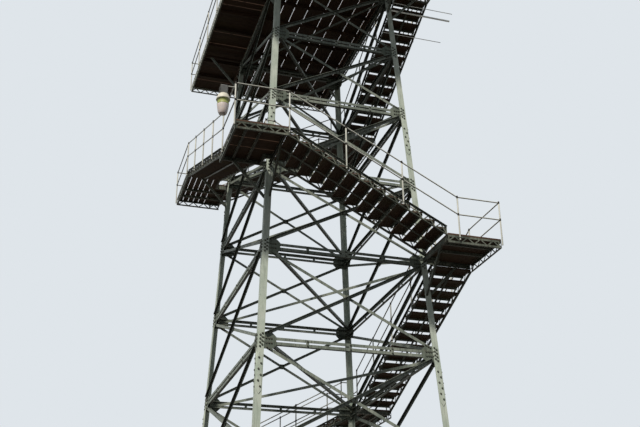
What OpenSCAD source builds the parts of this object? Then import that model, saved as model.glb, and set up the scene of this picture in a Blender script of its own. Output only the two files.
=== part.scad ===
// Fire lookout tower: a battered lattice frame of steel angles on four legs. A stair with wooden treads
// winds twice round the outside, one face to a storey, up to an open platform with a railing.
// Millimetres, +Z up. The front is towards -Y. The origin is the middle of the footprint at the ground.

/* [Frame] */
// Half of the width between the leg corners at the ground
base_half_x = 2710; // [2500:10:3000]
// Half of the depth between the leg corners at the ground
base_half_y = 3880; // [3600:10:4300]
// Half of the width between the leg corners at the top ring
top_half_x = 1790; // [1650:10:1950]
// Half of the depth between the leg corners at the top ring
top_half_y = 2500; // [2300:10:2800]
// Width of each flange of a leg angle
leg_w = 160; // [145:5:185]
// Thickness of a leg angle
leg_t = 18; // [14:1:22]

/* [Bracing] */
// Width of each flange of a brace angle
brace_w = 75; // [60:1:85]
// Thickness of a brace angle
brace_t = 8; // [6:1:10]
// Gap between the two angles of a ring strut
strut_gap = 40; // [25:1:55]
// Battens that tie the two angles of a ring strut
battens = 4; // [2:1:6]
// Width of a gusset plate
gusset_w = 420; // [390:5:480]
// Height of a gusset plate
gusset_h = 420; // [400:5:460]
// Thickness of a gusset plate
gusset_t = 10; // [8:1:14]

/* [Feet] */
// Side of a foot plate
foot_w = 480; // [420:10:560]
// Thickness of a foot plate
foot_t = 30; // [20:1:40]
// Distance between the anchor holes of a foot plate
anchor_pitch = 360; // [320:5:400]
// Diameter of an anchor hole
anchor_d = 34; // [26:1:40]

/* [Stair] */
// Rise of one step
riser = 168; // [158:1:178]
// Width over the stringers at the left and right
stair_w = 1100; // [1050:10:1200]
// Width over the stringers at the front and back
end_stair_w = 1450; // [1350:10:1500]
// Gap between the leg corners and the stair at the left and right
stair_gap = 140; // [130:5:170]
// Gap between the leg corners and the stair at the front
front_gap = 150; // [130:5:200]
// Gap between the leg corners and the stair at the back
back_gap = 560; // [450:10:650]
// Length by which a landing reaches inside the leg corner
landing_in = 100; // [80:5:120]
// Thickness of a tread
tread_t = 45; // [40:1:60]
// Length by which a tread runs on under the next one
tread_lap = 20; // [0:5:40]
// Height by which the stringers reach below the treads
stringer_under = 10; // [8:1:40]
// Width of a chord flange
chord_w = 50; // [40:1:60]
// Thickness of a chord flange
chord_t = 6; // [5:1:8]
// Thickness of the landing boards
board_t = 50; // [40:1:60]
// Depth of the lattice edge beams
edge_h = 200; // [180:5:240]
// Depth of a landing's arms and inner beams
arm_h = 120; // [100:5:150]
// Length of the leg that a landing's knee brace takes up
knee_drop = 950; // [700:10:1200]

/* [Railing] */
// Height of the top rail above the boards
rail_h = 1050; // [1000:10:1150]
// Width over the flats of a post or rail
rail_d = 42; // [34:1:50]
// Distance between posts, about
post_pitch = 1450; // [1200:10:1700]

/* [Fittings] */
// Width of the lamp's shade
lamp_w = 350; // [310:5:390]
// Height of the lamp over all
lamp_h = 800; // [720:10:880]
// Reach of the lamp's arm past the corner post
lamp_arm = 300; // [260:10:360]
// Reach of the outrigger tubes past the last flight
tube_out = 900; // [700:10:1100]
// Diameter of the thickest outrigger tube
tube_d = 60; // [45:1:70]

/* [Platform] */
// Reach of the platform past the leg corners at the left
platform_side = 1300; // [1100:10:1400]
// Reach of the platform past the leg corners at the front and back
platform_end = 2200; // [2000:10:2400]
// Reach of the platform past the leg corners beside the last flight
platform_right = 130; // [110:5:145]
// Width of a platform joist
joist_w = 70; // [50:1:90]
// Depth of a platform joist
joist_h = 100; // [90:5:110]
// Joists across the platform
joists = 9; // [6:1:12]

/* [Hidden] */
// Steps from each ring to the next, from the ground up
storey_steps = [17, 17, 16, 15, 14, 14, 13, 13];
storeys = len(storey_steps);
// Flat faces that meet stand this far apart
seat = 0.3;
// Turn of each face of the tower about the upright axis: front, left, back, right
face_turn = [0, -90, 180, 90];

function steps_below(k) = k < 1 ? 0 : storey_steps[k - 1] + steps_below(k - 1);
function level(k) = riser * steps_below(k);
top = level(storeys);
function half_x(z) = base_half_x + (top_half_x - base_half_x) * z / top;
function half_y(z) = base_half_y + (top_half_y - base_half_y) * z / top;
// A face's distance from the axis, and half of its width
function perp(f, z) = f % 2 == 0 ? half_y(z) : half_x(z);
function span(f, z) = f % 2 == 0 ? half_x(z) : half_y(z);
function tilt(f) = atan((perp(f, 0) - perp(f, top)) / top);
function slant(f, z) = z / cos(tilt(f));

strut_h = 2 * brace_w + strut_gap;
strut_y = leg_t + gusset_t + 2 * seat;
strut_end = 8;
strut_in = strut_y + brace_w + strut_end;
// Clear way from a leg's flange to the end of a brace, from a strut to it, and from a foot plate to a gusset
brace_gap = 30;
brace_rise = 55;
foot_gap = 30;
gusset_gap = 5;
brace_in = leg_w + brace_gap;
brace_up = strut_h / 2 + brace_rise;
frame_slope = max(base_half_x - top_half_x, base_half_y - top_half_y) / top;
gusset_in = leg_t + frame_slope * gusset_h / 2 + gusset_gap;
gusset_cut = gusset_w / 4;
// Side of the plate where two braces cross, in widths of a brace
cross_share = 2;
foot_gusset_z = foot_t + foot_gap + gusset_h / 2;
leg_top = top + strut_h / 2;

// Stair: storey s climbs the face s % 4 and ends on landing s + 1
function stair_face(s) = s % 4;
function landing_top(k) = k == 0 ? 0 : k == storeys ? level(k) + 2 * riser : level(k) + riser;
function flight_steps(s) = round((landing_top(s + 1) - landing_top(s)) / riser);
function low_end(s) = span(stair_face(s), level(s)) - landing_in;
function high_end(s) = span(stair_face(s), level(s + 1)) - landing_in;
function run(s) = low_end(s) + high_end(s);
function going(s) = run(s) / (flight_steps(s) - 1);
function stair_width(s) = stair_face(s) % 2 == 0 ? end_stair_w : stair_w;
function stair_off(s) = [front_gap, stair_gap, back_gap, stair_gap][stair_face(s)];
function inner_side(s) = perp(stair_face(s), level(s)) + stair_off(s);
function outer_side(s) = inner_side(s) + stair_width(s);
// Height of the line through the nosings, above the lower landing
function nosing(s, x) = riser + x * riser / going(s);

// Height of the stringers above the line through the nosings, and their depth and the treads' below it
stringer_up = 20;
function tread_drop(s) = riser + tread_t + tread_lap * riser / going(s);
function stringer_drop(s) = tread_drop(s) + stringer_under;
tie_w = 60;
tie_h = 6;
cleat_w = 45;
zig_w = 30;
platform_z = landing_top(storeys) - board_t;
platform_bottom = leg_top + seat;
platform_left = top_half_x + platform_side;
platform_edge = top_half_x + platform_right;
platform_reach = top_half_y + platform_end;
// The deck stands left of the last flight's well, and a strip in front of the well joins it
gate = -high_end(storeys - 1);
well_edge = outer_side(storeys - 1);
beam_x = top_half_x - leg_w / 2;
beam_y = top_half_y - leg_w / 2;
strip_edge = platform_edge + 2 * seat;

// Distance of a rail's middle from the edge that it stands beside
rail_off = seat + rail_d / 2;
bar_d = 0.8 * rail_d;
// Length of a post below the underside of the boards
post_under = 120;
// Heights of the middle of the top rail and of the knee rail
rail_heights = [rail_h - rail_d, rail_h / 2];

// Middle of the ground that the tower covers, measured from its axis
middle_x = (outer_side(storeys - 1) + tube_out - outer_side(1) - rail_off - rail_d / 2) / 2;
middle_y = (outer_side(2) - outer_side(0)) / 2;

// The lamp's landing, the height of its arm's underside, and the heights and widths of its parts
lamp_landing = 5;
lamp_drop = 200;
lamp_top = rail_h - lamp_drop;
arm_d = 32;
cap_h = 0.27 * lamp_h;
cap_w = 0.6 * lamp_w;
shade_h = 0.2 * lamp_h;
shade_top_r = 0.36 * lamp_w;
band_h = 0.17 * lamp_h;
neck_r = 0.42 * lamp_w;
cup_share = 0.75;
// Each outrigger tube's place along the last flight, as a share of its run, and its share of tube_d
tubes = [[0.77, 0.4], [0.92, 1], [0.965, 0.4]];

// Share of a tread's depth that its cleats take up, and share of a stair's width that a knee reaches over
cleat_share = 0.7;
knee_share = 0.7;
knee_bar = 90;
// Share of its reach that each of the platform's knees takes up, and the drop of those knees
side_knee_share = 0.8;
end_knee_share = 0.35;
side_knee_drop = 1.2 * knee_drop;
end_knee_drop = 0.8 * knee_drop;

// The tower's own axis, set so that the footprint's middle is the origin
module on_axis() {
    translate([-middle_x, -middle_y, 0]) children();
}

// A face of the tower: X to the right seen from outside, Y into the tower, Z up the batter
module on_face(f) {
    rotate([0, 0, face_turn[f]]) translate([0, -perp(f, 0), 0]) rotate([-tilt(f), 0, 0]) children();
}

// A flight: X along the climb from the lower landing's edge, Y outwards, Z from the lower landing
module on_flight(s) {
    rotate([0, 0, face_turn[stair_face(s)] + 180]) translate([-low_end(s), inner_side(s), landing_top(s)])
        children();
}

// A landing: X towards the corner, Y outwards on the side of the flight that arrives
module on_corner(k) {
    rotate([0, 0, face_turn[stair_face(k - 1)] + 180]) translate([0, 0, landing_top(k)]) children();
}

// An angle along X, its flat flange in Y from 0 to its thickness, its other flange inwards
module angle_bar(length, width, thick) {
    translate([0, 0, -width / 2]) cube([length, thick, width]);
    translate([0, 0, width / 2 - thick]) cube([length, width, thick]);
}

module leg_profile() {
    square([leg_w, leg_t]);
    square([leg_t, leg_w]);
}

// A leg at a corner: a sheared prism, so both flanges lie in the planes of its faces
module leg(side_x, side_y) {
    lean_x = -side_x * (base_half_x - top_half_x) / top;
    lean_y = -side_y * (base_half_y - top_half_y) / top;
    lower = foot_t + seat;
    color("darkseagreen")
        translate([side_x * half_x(lower), side_y * half_y(lower), lower])
        multmatrix([[1, 0, lean_x, 0], [0, 1, lean_y, 0], [0, 0, 1, 0], [0, 0, 0, 1]])
        linear_extrude(height = leg_top - lower)
        scale([-side_x, -side_y]) leg_profile();
}

module foot_plates() {
    color("slategray")
        for (side_x = [-1, 1], side_y = [-1, 1])
            translate([side_x * (base_half_x - leg_w / 2), side_y * (base_half_y - leg_w / 2), 0])
                difference() {
                    translate([-foot_w / 2, -foot_w / 2, 0]) cube([foot_w, foot_w, foot_t]);
                    for (x = [-1, 1], y = [-1, 1])
                        translate([x * anchor_pitch / 2, y * anchor_pitch / 2, -1])
                            cylinder(h = foot_t + 2, d = anchor_d, $fn = 48);
                }
}

// Two angles, one above the other, tied by battens
module ring_strut(f, k) {
    half = span(f, level(k)) - strut_in;
    on_face(f) translate([-half, strut_y, slant(f, level(k))]) {
        translate([0, 0, strut_gap / 2 + brace_w / 2]) angle_bar(2 * half, brace_w, brace_t);
        translate([0, 0, -strut_gap / 2 - brace_w / 2]) mirror([0, 0, 1])
            angle_bar(2 * half, brace_w, brace_t);
        for (i = [0 : battens])
            translate([i * (2 * half - brace_w) / battens, 0, -strut_h / 2])
                cube([brace_w, brace_t, strut_h]);
    }
}

// A brace across the ring from corner to corner, on top of the side struts or under them
module plan_brace(k, direction, on_top) {
    end_x = half_x(level(k)) - strut_y - brace_w / 2;
    end_y = end_x * half_y(level(k)) / half_x(level(k));
    rise = strut_h / 2 * cos(tilt(1));
    z = on_top ? rise - strut_y * sin(tilt(1)) + seat : -rise - (strut_y + brace_w) * sin(tilt(1)) - seat;
    translate([0, 0, level(k) + z]) rotate([0, 0, direction * atan2(end_y, end_x)])
        translate([-norm([end_x, end_y]), -brace_w / 2, 0]) mirror([0, 0, on_top ? 0 : 1]) {
            cube([2 * norm([end_x, end_y]), brace_w, brace_t]);
            cube([2 * norm([end_x, end_y]), brace_t, brace_w]);
        }
}

module ring(k) {
    color("darkseagreen") {
        for (f = [0 : 3]) ring_strut(f, k);
        if (k < storeys) plan_brace(k, 1, true);
        plan_brace(k, -1, false);
    }
}

// One brace of a panel, outside the gussets or inside them
module face_brace(f, s, outside) {
    low = s == 0 ? slant(f, foot_gusset_z) : slant(f, level(s)) + brace_up;
    high = slant(f, level(s + 1)) - brace_up;
    x_low = span(f, level(s)) - brace_in;
    x_high = span(f, level(s + 1)) - brace_in;
    length = norm([x_low + x_high, high - low]);
    side = outside ? 1 : -1;
    y = outside ? leg_t : strut_y;
    on_face(f) translate([-side * x_low, y, low]) mirror([outside ? 0 : 1, 0, 0])
        rotate([0, -atan2(high - low, x_low + x_high), 0]) mirror([0, outside ? 1 : 0, 0])
        angle_bar(length, brace_w, brace_t);
}

module braces(f) {
    color("darkseagreen") for (s = [0 : storeys - 1], outside = [true, false]) face_brace(f, s, outside);
}

function gusset_z(f, k) = k == 0 ? slant(f, foot_gusset_z)
    : k == storeys ? slant(f, level(k)) + strut_h / 2 - gusset_h / 2 : slant(f, level(k));

module gusset(f, k, side) {
    on_face(f) translate([side * (span(f, level(k)) - gusset_in), leg_t + gusset_t + seat, gusset_z(f, k)])
        rotate([90, 0, 0]) linear_extrude(height = gusset_t)
        polygon([[0, -gusset_h / 2], [-side * (gusset_w - gusset_cut), -gusset_h / 2],
                 [-side * gusset_w, -gusset_h / 2 + gusset_cut],
                 [-side * gusset_w, gusset_h / 2 - gusset_cut],
                 [-side * (gusset_w - gusset_cut), gusset_h / 2], [0, gusset_h / 2]]);
}

// The packing plate between the two braces of a panel, where they cross
module cross_plate(f, s) {
    low = s == 0 ? slant(f, foot_gusset_z) : slant(f, level(s)) + brace_up;
    high = slant(f, level(s + 1)) - brace_up;
    x_low = span(f, level(s)) - brace_in;
    x_high = span(f, level(s + 1)) - brace_in;
    side = cross_share * brace_w;
    on_face(f) translate([-side / 2, leg_t + seat, low + (high - low) * x_low / (x_low + x_high) - side / 2])
        cube([side, gusset_t, side]);
}

module gusset_plates() {
    color("slategray") {
        for (f = [0 : 3], k = [0 : storeys], side = [-1, 1]) gusset(f, k, side);
        for (f = [0 : 3], s = [0 : storeys - 1]) cross_plate(f, s);
    }
}

// The outline of a band under the nosing line, cut upright at both ends
module slope_band(s, from, depth) {
    low = nosing(s, seat) - from;
    high = nosing(s, run(s) - seat) - from;
    polygon([[seat, low], [run(s) - seat, high], [run(s) - seat, high - depth], [seat, low - depth]]);
}

module bar_2d(a, b, width) {
    translate(a) rotate(atan2(b[1] - a[1], b[0] - a[0])) translate([0, -width / 2])
        square([norm(b - a), width]);
}

// A stringer's side: two chords, end bars and a zigzag that has one turn for each step
module stringer_side(s) {
    low = stringer_drop(s) - chord_w / 2;
    high = -stringer_up + chord_w / 2;
    intersection() {
        union() {
            slope_band(s, -stringer_up, chord_w);
            slope_band(s, stringer_drop(s) - chord_w, chord_w);
            intersection() {
                slope_band(s, -stringer_up, stringer_up + stringer_drop(s));
                for (x = [0, run(s) - zig_w]) translate([x, -top]) square([zig_w, 2 * top]);
            }
            for (j = [0 : flight_steps(s) - 2]) {
                x = j * going(s);
                middle = x + going(s) / 2;
                bar_2d([x, nosing(s, x) - low], [middle, nosing(s, middle) - high], zig_w);
                bar_2d([middle, nosing(s, middle) - high],
                       [x + going(s), nosing(s, x + going(s)) - low], zig_w);
            }
        }
        stair_clip(s);
    }
}

// Between the landings' edges, and above the ground on the first flight
module stair_clip(s) {
    floor_z = s == 0 ? 0 : -stringer_drop(s);
    height = landing_top(s + 1) - landing_top(s) + riser - floor_z;
    translate([seat, floor_z]) square([run(s) - 2 * seat, height]);
}

module upright(y, thick) {
    translate([0, y + thick, 0]) rotate([90, 0, 0]) linear_extrude(height = thick) children();
}

module stringer(s, inner) {
    outer_web = stair_width(s) - chord_w;
    web = inner ? chord_w - chord_t : outer_web;
    flange = inner ? 0 : outer_web;
    cleat = inner ? chord_w - chord_t : outer_web + chord_t - cleat_w;
    upright(web, chord_t) stringer_side(s);
    upright(flange, chord_w) intersection() {
        union() {
            slope_band(s, -stringer_up, chord_t);
            slope_band(s, stringer_drop(s) - chord_t, chord_t);
        }
        stair_clip(s);
    }
    for (j = [1 : flight_steps(s) - 1])
        translate([(j - 0.5 - cleat_share / 2) * going(s), cleat, j * riser - tread_t - seat - chord_t])
            cube([cleat_share * going(s), cleat_w, chord_t]);
}

// The strap under the middle of the treads
module tread_tie(s) {
    upright((stair_width(s) - tie_w) / 2, tie_w) intersection() {
        slope_band(s, tread_drop(s) + seat, tie_h);
        stair_clip(s);
    }
}

module stringers(f) {
    color("dimgray") for (s = [f : 4 : storeys - 1]) on_flight(s) {
        stringer(s, true);
        stringer(s, false);
        tread_tie(s);
    }
}

module treads(f) {
    color("saddlebrown") for (s = [f : 4 : storeys - 1]) on_flight(s)
        for (j = [1 : flight_steps(s) - 1])
            translate([(j - 1) * going(s) + seat, chord_w + seat, j * riser - tread_t])
                cube([going(s) - 2 * seat + (j < flight_steps(s) - 1 ? tread_lap : 0),
                      stair_width(s) - 2 * (chord_w + seat), tread_t]);
}

// A landing's edges, in its corner's frame
function in_x(k) = high_end(k - 1);
function bend_x(k) = inner_side(k);
function out_x(k) = outer_side(k);
function in_y(k) = low_end(k);
function bend_y(k) = inner_side(k - 1);
function out_y(k) = outer_side(k - 1);

// A thing that is made along X with its side towards +Y, laid along Y with its side towards +X
module along_y() {
    rotate([0, 0, 90]) mirror([0, 1, 0]) children();
}

// A beam along X under the boards, its flanges towards +Y and its web's outline given from its top edge
module beam(length, depth) {
    translate([0, 0, -board_t - seat]) {
        upright(0, chord_t) children();
        for (z = [-chord_t, -depth]) translate([0, 0, z]) cube([length, chord_w, chord_t]);
    }
}

// A plain channel
module arm_beam(length) {
    beam(length, arm_h) translate([0, -arm_h]) square([length, arm_h]);
}

// A lattice
module edge_beam(length) {
    bays = max(1, round(length / (2 * riser)));
    bay = length / bays;
    low = chord_w / 2 - edge_h;
    high = -chord_w / 2;
    beam(length, edge_h) {
        for (y = [-chord_w, -edge_h]) translate([0, y]) square([length, chord_w]);
        for (x = [0, length - zig_w]) translate([x, -edge_h]) square([zig_w, edge_h]);
        for (i = [0 : bays - 1]) {
            bar_2d([i * bay, low], [(i + 0.5) * bay, high], zig_w);
            bar_2d([(i + 0.5) * bay, high], [(i + 1) * bay, low], zig_w);
        }
    }
}

// A knee brace along X: from the leg's face up to the underside of an arm, whose height is its top
module knee(face, z_base, arm, reach, drop) {
    foot = arm - drop;
    upright(0, chord_w)
        polygon([[perp(face, z_base + foot) + seat, foot],
                 [perp(face, z_base + foot + knee_bar) + seat, foot + knee_bar],
                 [reach - knee_bar, arm], [reach, arm]]);
}

function knee_reach(s) = stair_off(s) + knee_share * stair_width(s);

// The steelwork of a landing: each beam is a solid of its own, butted against the next
module landing_frame(k) {
    arrive = stair_face(k - 1);
    leave = stair_face(k);
    arm = -board_t - seat - arm_h;
    leg_y = perp(arrive, landing_top(k) + arm) + seat;
    leg_x = perp(leave, landing_top(k) + arm) + seat;
    inset = chord_w + seat;
    on_corner(k) {
        // Arms from the leg, which end the flight that arrives and start the one that leaves
        translate([in_x(k), leg_y, 0]) along_y() arm_beam(out_y(k) - inset - leg_y);
        translate([leg_x, in_y(k), 0]) arm_beam(out_x(k) - inset - leg_x);
        // Outer edges
        translate([in_x(k), out_y(k), 0]) mirror([0, 1, 0]) edge_beam(out_x(k) - in_x(k));
        translate([out_x(k), in_y(k), 0]) mirror([1, 0, 0]) along_y() edge_beam(out_y(k) - inset - in_y(k));
        // Inner edges, round the leg
        translate([in_x(k) + inset, bend_y(k), 0]) arm_beam(bend_x(k) + chord_w - in_x(k) - inset);
        translate([bend_x(k), in_y(k) + inset, 0]) along_y() arm_beam(bend_y(k) - seat - in_y(k) - inset);
        // Joists
        for (i = [1, 2])
            translate([bend_x(k) + i * (out_x(k) - bend_x(k)) / 3, in_y(k) + inset, 0])
                translate([0, 0, -board_t - seat - brace_w])
                cube([chord_w, out_y(k) - in_y(k) - 2 * inset, brace_w]);
        translate([in_x(k), 0, 0]) along_y()
            knee(arrive, landing_top(k), arm - seat, leg_y + knee_reach(k - 1), knee_drop);
        translate([0, in_y(k), 0])
            knee(leave, landing_top(k), arm - seat, leg_x + knee_reach(k), knee_drop);
    }
}

module landing_frames(c) {
    color("dimgray") for (k = [c + 1 : 4 : storeys - 1]) landing_frame(k);
}

// Two fields of boards, which leave the corner round the leg open
module landing_boards() {
    color("saddlebrown") for (k = [1 : storeys - 1]) on_corner(k) translate([0, 0, -board_t]) {
        translate([in_x(k), bend_y(k), 0]) cube([bend_x(k) - seat - in_x(k), out_y(k) - bend_y(k), board_t]);
        translate([bend_x(k), in_y(k), 0]) cube([out_x(k) - bend_x(k), out_y(k) - in_y(k), board_t]);
    }
}

// An eight-sided bar between two points, slimmer than the posts that it runs through
module rail_bar(a, b) {
    d = b - a;
    translate(a) rotate([0, atan2(norm([d[0], d[1]]), d[2]), atan2(d[1], d[0])])
        rotate([0, 0, 22.5]) cylinder(h = norm(d), d = bar_d / cos(22.5), $fn = 8);
}

// A post beside an edge, with its foot a little under the boards but no lower than the ground
module post(x, y, z_edge, ground = -top) {
    foot = max(z_edge - board_t - post_under, ground);
    translate([x, y, foot]) rotate([0, 0, 22.5])
        cylinder(h = z_edge + rail_h - foot, d = rail_d / cos(22.5), $fn = 8);
}

function rail_bays(length) = max(1, round(length / post_pitch));

module flight_rail(s, y, start) {
    end = run(s) - rail_off;
    bays = rail_bays(end - start);
    for (i = [0 : bays]) {
        x = start + i * (end - start) / bays;
        post(x, y, nosing(s, x), s == 0 ? 0 : -top);
    }
    for (h = rail_heights) rail_bar([start, y, nosing(s, start) + h], [end, y, nosing(s, end) + h]);
}

// The outer rail starts over the landing, where it is level with the landing's own rail
module flight_rails(f) {
    color("gainsboro") for (s = [f : 4 : storeys - 1]) on_flight(s) {
        flight_rail(s, stair_width(s) + rail_off, s == 0 ? rail_off : -going(s));
        flight_rail(s, -rail_off, rail_off);
    }
}

// A straight level rail between two points
module level_rail(a, b) {
    for (h = rail_heights) rail_bar([a[0], a[1], h], [b[0], b[1], h]);
}

// A level rail with its posts, but for the one at its end
module posted_rail(a, b) {
    bays = rail_bays(norm(b - a));
    for (i = [0 : bays - 1]) post(a[0] + i * (b[0] - a[0]) / bays, a[1] + i * (b[1] - a[1]) / bays, 0);
    level_rail(a, b);
}

module landing_rail(k) {
    gap = rail_d / 2 + seat;
    outer_x = out_x(k) + rail_off;
    outer_y = out_y(k) + rail_off;
    inner_x = bend_x(k) - rail_off;
    inner_y = bend_y(k) - rail_off;
    on_corner(k) {
        level_rail([in_x(k), outer_y], [outer_x, outer_y]);
        post(outer_x, outer_y, 0);
        level_rail([outer_x, outer_y - gap], [outer_x, in_y(k) + going(k) + gap]);
        level_rail([in_x(k), inner_y], [inner_x, inner_y]);
        post(inner_x, inner_y, 0);
        level_rail([inner_x, inner_y - gap], [inner_x, in_y(k)]);
    }
}

module landing_rails(c) {
    color("gainsboro") for (k = [c + 1 : 4 : storeys - 1]) landing_rail(k);
}

module platform_boards() {
    color("saddlebrown") translate([0, 0, platform_z]) {
        translate([-platform_left, -platform_reach, 0])
            cube([platform_left + platform_edge, 2 * platform_reach, board_t]);
        translate([strip_edge, -platform_reach, 0])
            cube([well_edge - strip_edge, platform_reach + gate, board_t]);
    }
}

// Four lattice edges round a rectangle of boards
module deck_edges(wide, long) {
    inset = chord_w + seat;
    edge_beam(wide);
    translate([0, long, 0]) mirror([0, 1, 0]) edge_beam(wide);
    translate([0, inset, 0]) along_y() edge_beam(long - 2 * inset);
    translate([wide, inset, 0]) mirror([1, 0, 0]) along_y() edge_beam(long - 2 * inset);
}

module platform_edges() {
    color("dimgray") translate([0, 0, landing_top(storeys)]) {
        translate([-platform_left, -platform_reach, 0])
            deck_edges(platform_left + platform_edge, 2 * platform_reach);
        translate([strip_edge, -platform_reach, 0])
            deck_edges(well_edge - strip_edge, platform_reach + gate);
    }
}

// A timber along X from one end to the other, with its top at z
module joist(x0, x1, y, z, depth) {
    translate([x0, y - joist_w / 2, z - depth]) cube([x1 - x0, joist_w, depth]);
}

// Joists across the deck, on two bearers that lie on the legs and two pairs of outriggers
module platform_joists() {
    inset = chord_w + seat;
    left = -platform_left + inset;
    right = platform_edge - inset;
    pitch = 2 * platform_reach / (joists + 1);
    joist_z = platform_z - seat;
    bearer_z = joist_z - joist_h - seat;
    bearer_h = bearer_z - platform_bottom;
    color("sienna") {
        for (i = [1 : joists]) joist(left, right, i * pitch - platform_reach, joist_z, joist_h);
        for (i = [1, 2])
            joist(strip_edge + inset, well_edge - inset, -platform_reach + i * (platform_reach + gate) / 3,
                  joist_z, joist_h);
        for (x = [-beam_x, beam_x])
            translate([x - joist_w / 2, -platform_reach + inset, platform_bottom])
                cube([joist_w, 2 * (platform_reach - inset), bearer_h]);
        for (y = [-beam_y, beam_y]) {
            joist(left, -beam_x - joist_w / 2 - seat, y, bearer_z, bearer_h);
            joist(-beam_x + joist_w / 2 + seat, beam_x - joist_w / 2 - seat, y, bearer_z, bearer_h);
        }
    }
}

// Knees from the legs up to the bearers and outriggers, and one up to the strip beside the gate
module platform_braces() {
    reach_x = top_half_x + side_knee_share * platform_side;
    reach_y = top_half_y + end_knee_share * platform_end;
    strip_z = landing_top(storeys) - board_t - seat - edge_h;
    color("darkseagreen") {
        translate([0, 0, platform_bottom]) for (side = [-1, 1]) {
            for (turn = [0, 1]) mirror([0, turn, 0]) translate([side * beam_x - chord_w / 2, 0, 0])
                along_y() knee(0, platform_bottom, -seat, reach_y, end_knee_drop);
            mirror([1, 0, 0]) translate([0, side * beam_y - chord_w / 2, 0])
                knee(1, platform_bottom, -seat, reach_x, side_knee_drop);
        }
        translate([0, gate - chord_w, strip_z])
            knee(3, strip_z, -seat, perp(3, strip_z) + knee_reach(storeys - 1), knee_drop);
    }
}

module platform_rails() {
    gap = rail_d / 2 + seat;
    left = -platform_left - rail_off;
    right = well_edge + rail_off;
    inner = platform_edge + rail_off;
    front = -platform_reach - rail_off;
    back = platform_reach + rail_off;
    color("gainsboro") translate([0, 0, platform_z + board_t]) {
        posted_rail([left, back], [left, front + gap]);
        posted_rail([left, front], [right - gap, front]);
        posted_rail([right, front], [right, gate]);
        posted_rail([inner, gate + rail_off], [inner, back - gap]);
        posted_rail([inner, back], [left + gap, back]);
    }
}

// The lamp hangs from an arm on the outer corner post of a landing at the front left
module at_lamp() {
    on_corner(lamp_landing) translate([out_x(lamp_landing) + rail_off, out_y(lamp_landing) + rail_off, 0])
        children();
}

module lamp_bracket() {
    color("gainsboro") at_lamp() translate([rail_d / 2 + seat, 0, lamp_top + arm_d / 2]) {
        translate([0, -rail_d / 2, -arm_d]) cube([chord_t, rail_d, 2 * arm_d]);
        rotate([0, 90, 0]) cylinder(h = lamp_arm, d = arm_d, $fn = 16);
    }
}

// A square cap over a conical shade and a round neck
module lamp_housing() {
    color("whitesmoke") at_lamp() translate([lamp_arm, 0, lamp_top - seat - cap_h]) {
        translate([-cap_w / 2, -cap_w / 2, 0]) cube([cap_w, cap_w, cap_h]);
        rotate_extrude($fn = 64)
            polygon([[0, 0], [shade_top_r, 0], [lamp_w / 2, -shade_h], [neck_r, -shade_h],
                     [neck_r, -shade_h - band_h], [0, -shade_h - band_h]]);
    }
}

module lamp_bowl() {
    bowl = lamp_h - cap_h - shade_h - band_h - seat;
    color("mistyrose") at_lamp() translate([lamp_arm, 0, lamp_top - 2 * seat - lamp_h])
        rotate_extrude($fn = 64) polygon([[0, 0], [cup_share * neck_r, 0], [neck_r, bowl], [0, bowl]]);
}

// Tubes that lie across the underside of the last flight and reach past its outer stringer
module outrigger_tubes() {
    s = storeys - 1;
    steep = cos(atan(riser / going(s)));
    color("dimgray") on_flight(s) for (tube = tubes) {
        x = tube[0] * run(s);
        d = tube[1] * tube_d;
        translate([x, 0, nosing(s, x) - stringer_drop(s) - (d / 2 + seat) / steep])
            rotate([-90, 0, 0]) cylinder(h = stair_width(s) + tube_out, d = d, $fn = 32);
    }
}

on_axis() foot_plates();
on_axis() leg(-1, -1);  // leg_front_left
on_axis() leg(-1, 1);  // leg_back_left
on_axis() leg(1, 1);  // leg_back_right
on_axis() leg(1, -1);  // leg_front_right
on_axis() ring(1);  // ring_1
on_axis() ring(2);  // ring_2
on_axis() ring(3);  // ring_3
on_axis() ring(4);  // ring_4
on_axis() ring(5);  // ring_5
on_axis() ring(6);  // ring_6
on_axis() ring(7);  // ring_7
on_axis() ring(8);  // ring_8
on_axis() braces(0);  // braces_front
on_axis() braces(1);  // braces_left
on_axis() braces(2);  // braces_back
on_axis() braces(3);  // braces_right
on_axis() gusset_plates();
on_axis() stringers(0);  // stringers_front
on_axis() stringers(1);  // stringers_left
on_axis() stringers(2);  // stringers_back
on_axis() stringers(3);  // stringers_right
on_axis() treads(0);  // treads_front
on_axis() treads(1);  // treads_left
on_axis() treads(2);  // treads_back
on_axis() treads(3);  // treads_right
on_axis() landing_frames(0);  // landing_frame_front_left
on_axis() landing_frames(1);  // landing_frame_back_left
on_axis() landing_frames(2);  // landing_frame_back_right
on_axis() landing_frames(3);  // landing_frame_front_right
on_axis() landing_boards();
on_axis() flight_rails(0);  // flight_rails_front
on_axis() flight_rails(1);  // flight_rails_left
on_axis() flight_rails(2);  // flight_rails_back
on_axis() flight_rails(3);  // flight_rails_right
on_axis() landing_rails(0);  // landing_rails_front_left
on_axis() landing_rails(1);  // landing_rails_back_left
on_axis() landing_rails(2);  // landing_rails_back_right
on_axis() landing_rails(3);  // landing_rails_front_right
on_axis() platform_edges();
on_axis() platform_joists();
on_axis() platform_boards();
on_axis() platform_braces();
on_axis() platform_rails();
on_axis() lamp_bracket();
on_axis() lamp_housing();
on_axis() lamp_bowl();
on_axis() outrigger_tubes();
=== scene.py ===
"""Looks for the fire lookout tower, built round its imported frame.

Lengths are in metres, in the frame's own axes: +Z up and the front towards -Y. The steel sections are
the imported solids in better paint. Boards, railings, the lamp, tubes, plates and bolts are built here.
"""

import itertools
import logging
import math
from collections.abc import Sequence
from dataclasses import dataclass, field, replace
from enum import Enum
from functools import cache
from typing import ClassVar

import bpy
import numpy as np
from mathutils import Matrix, Vector


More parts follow.
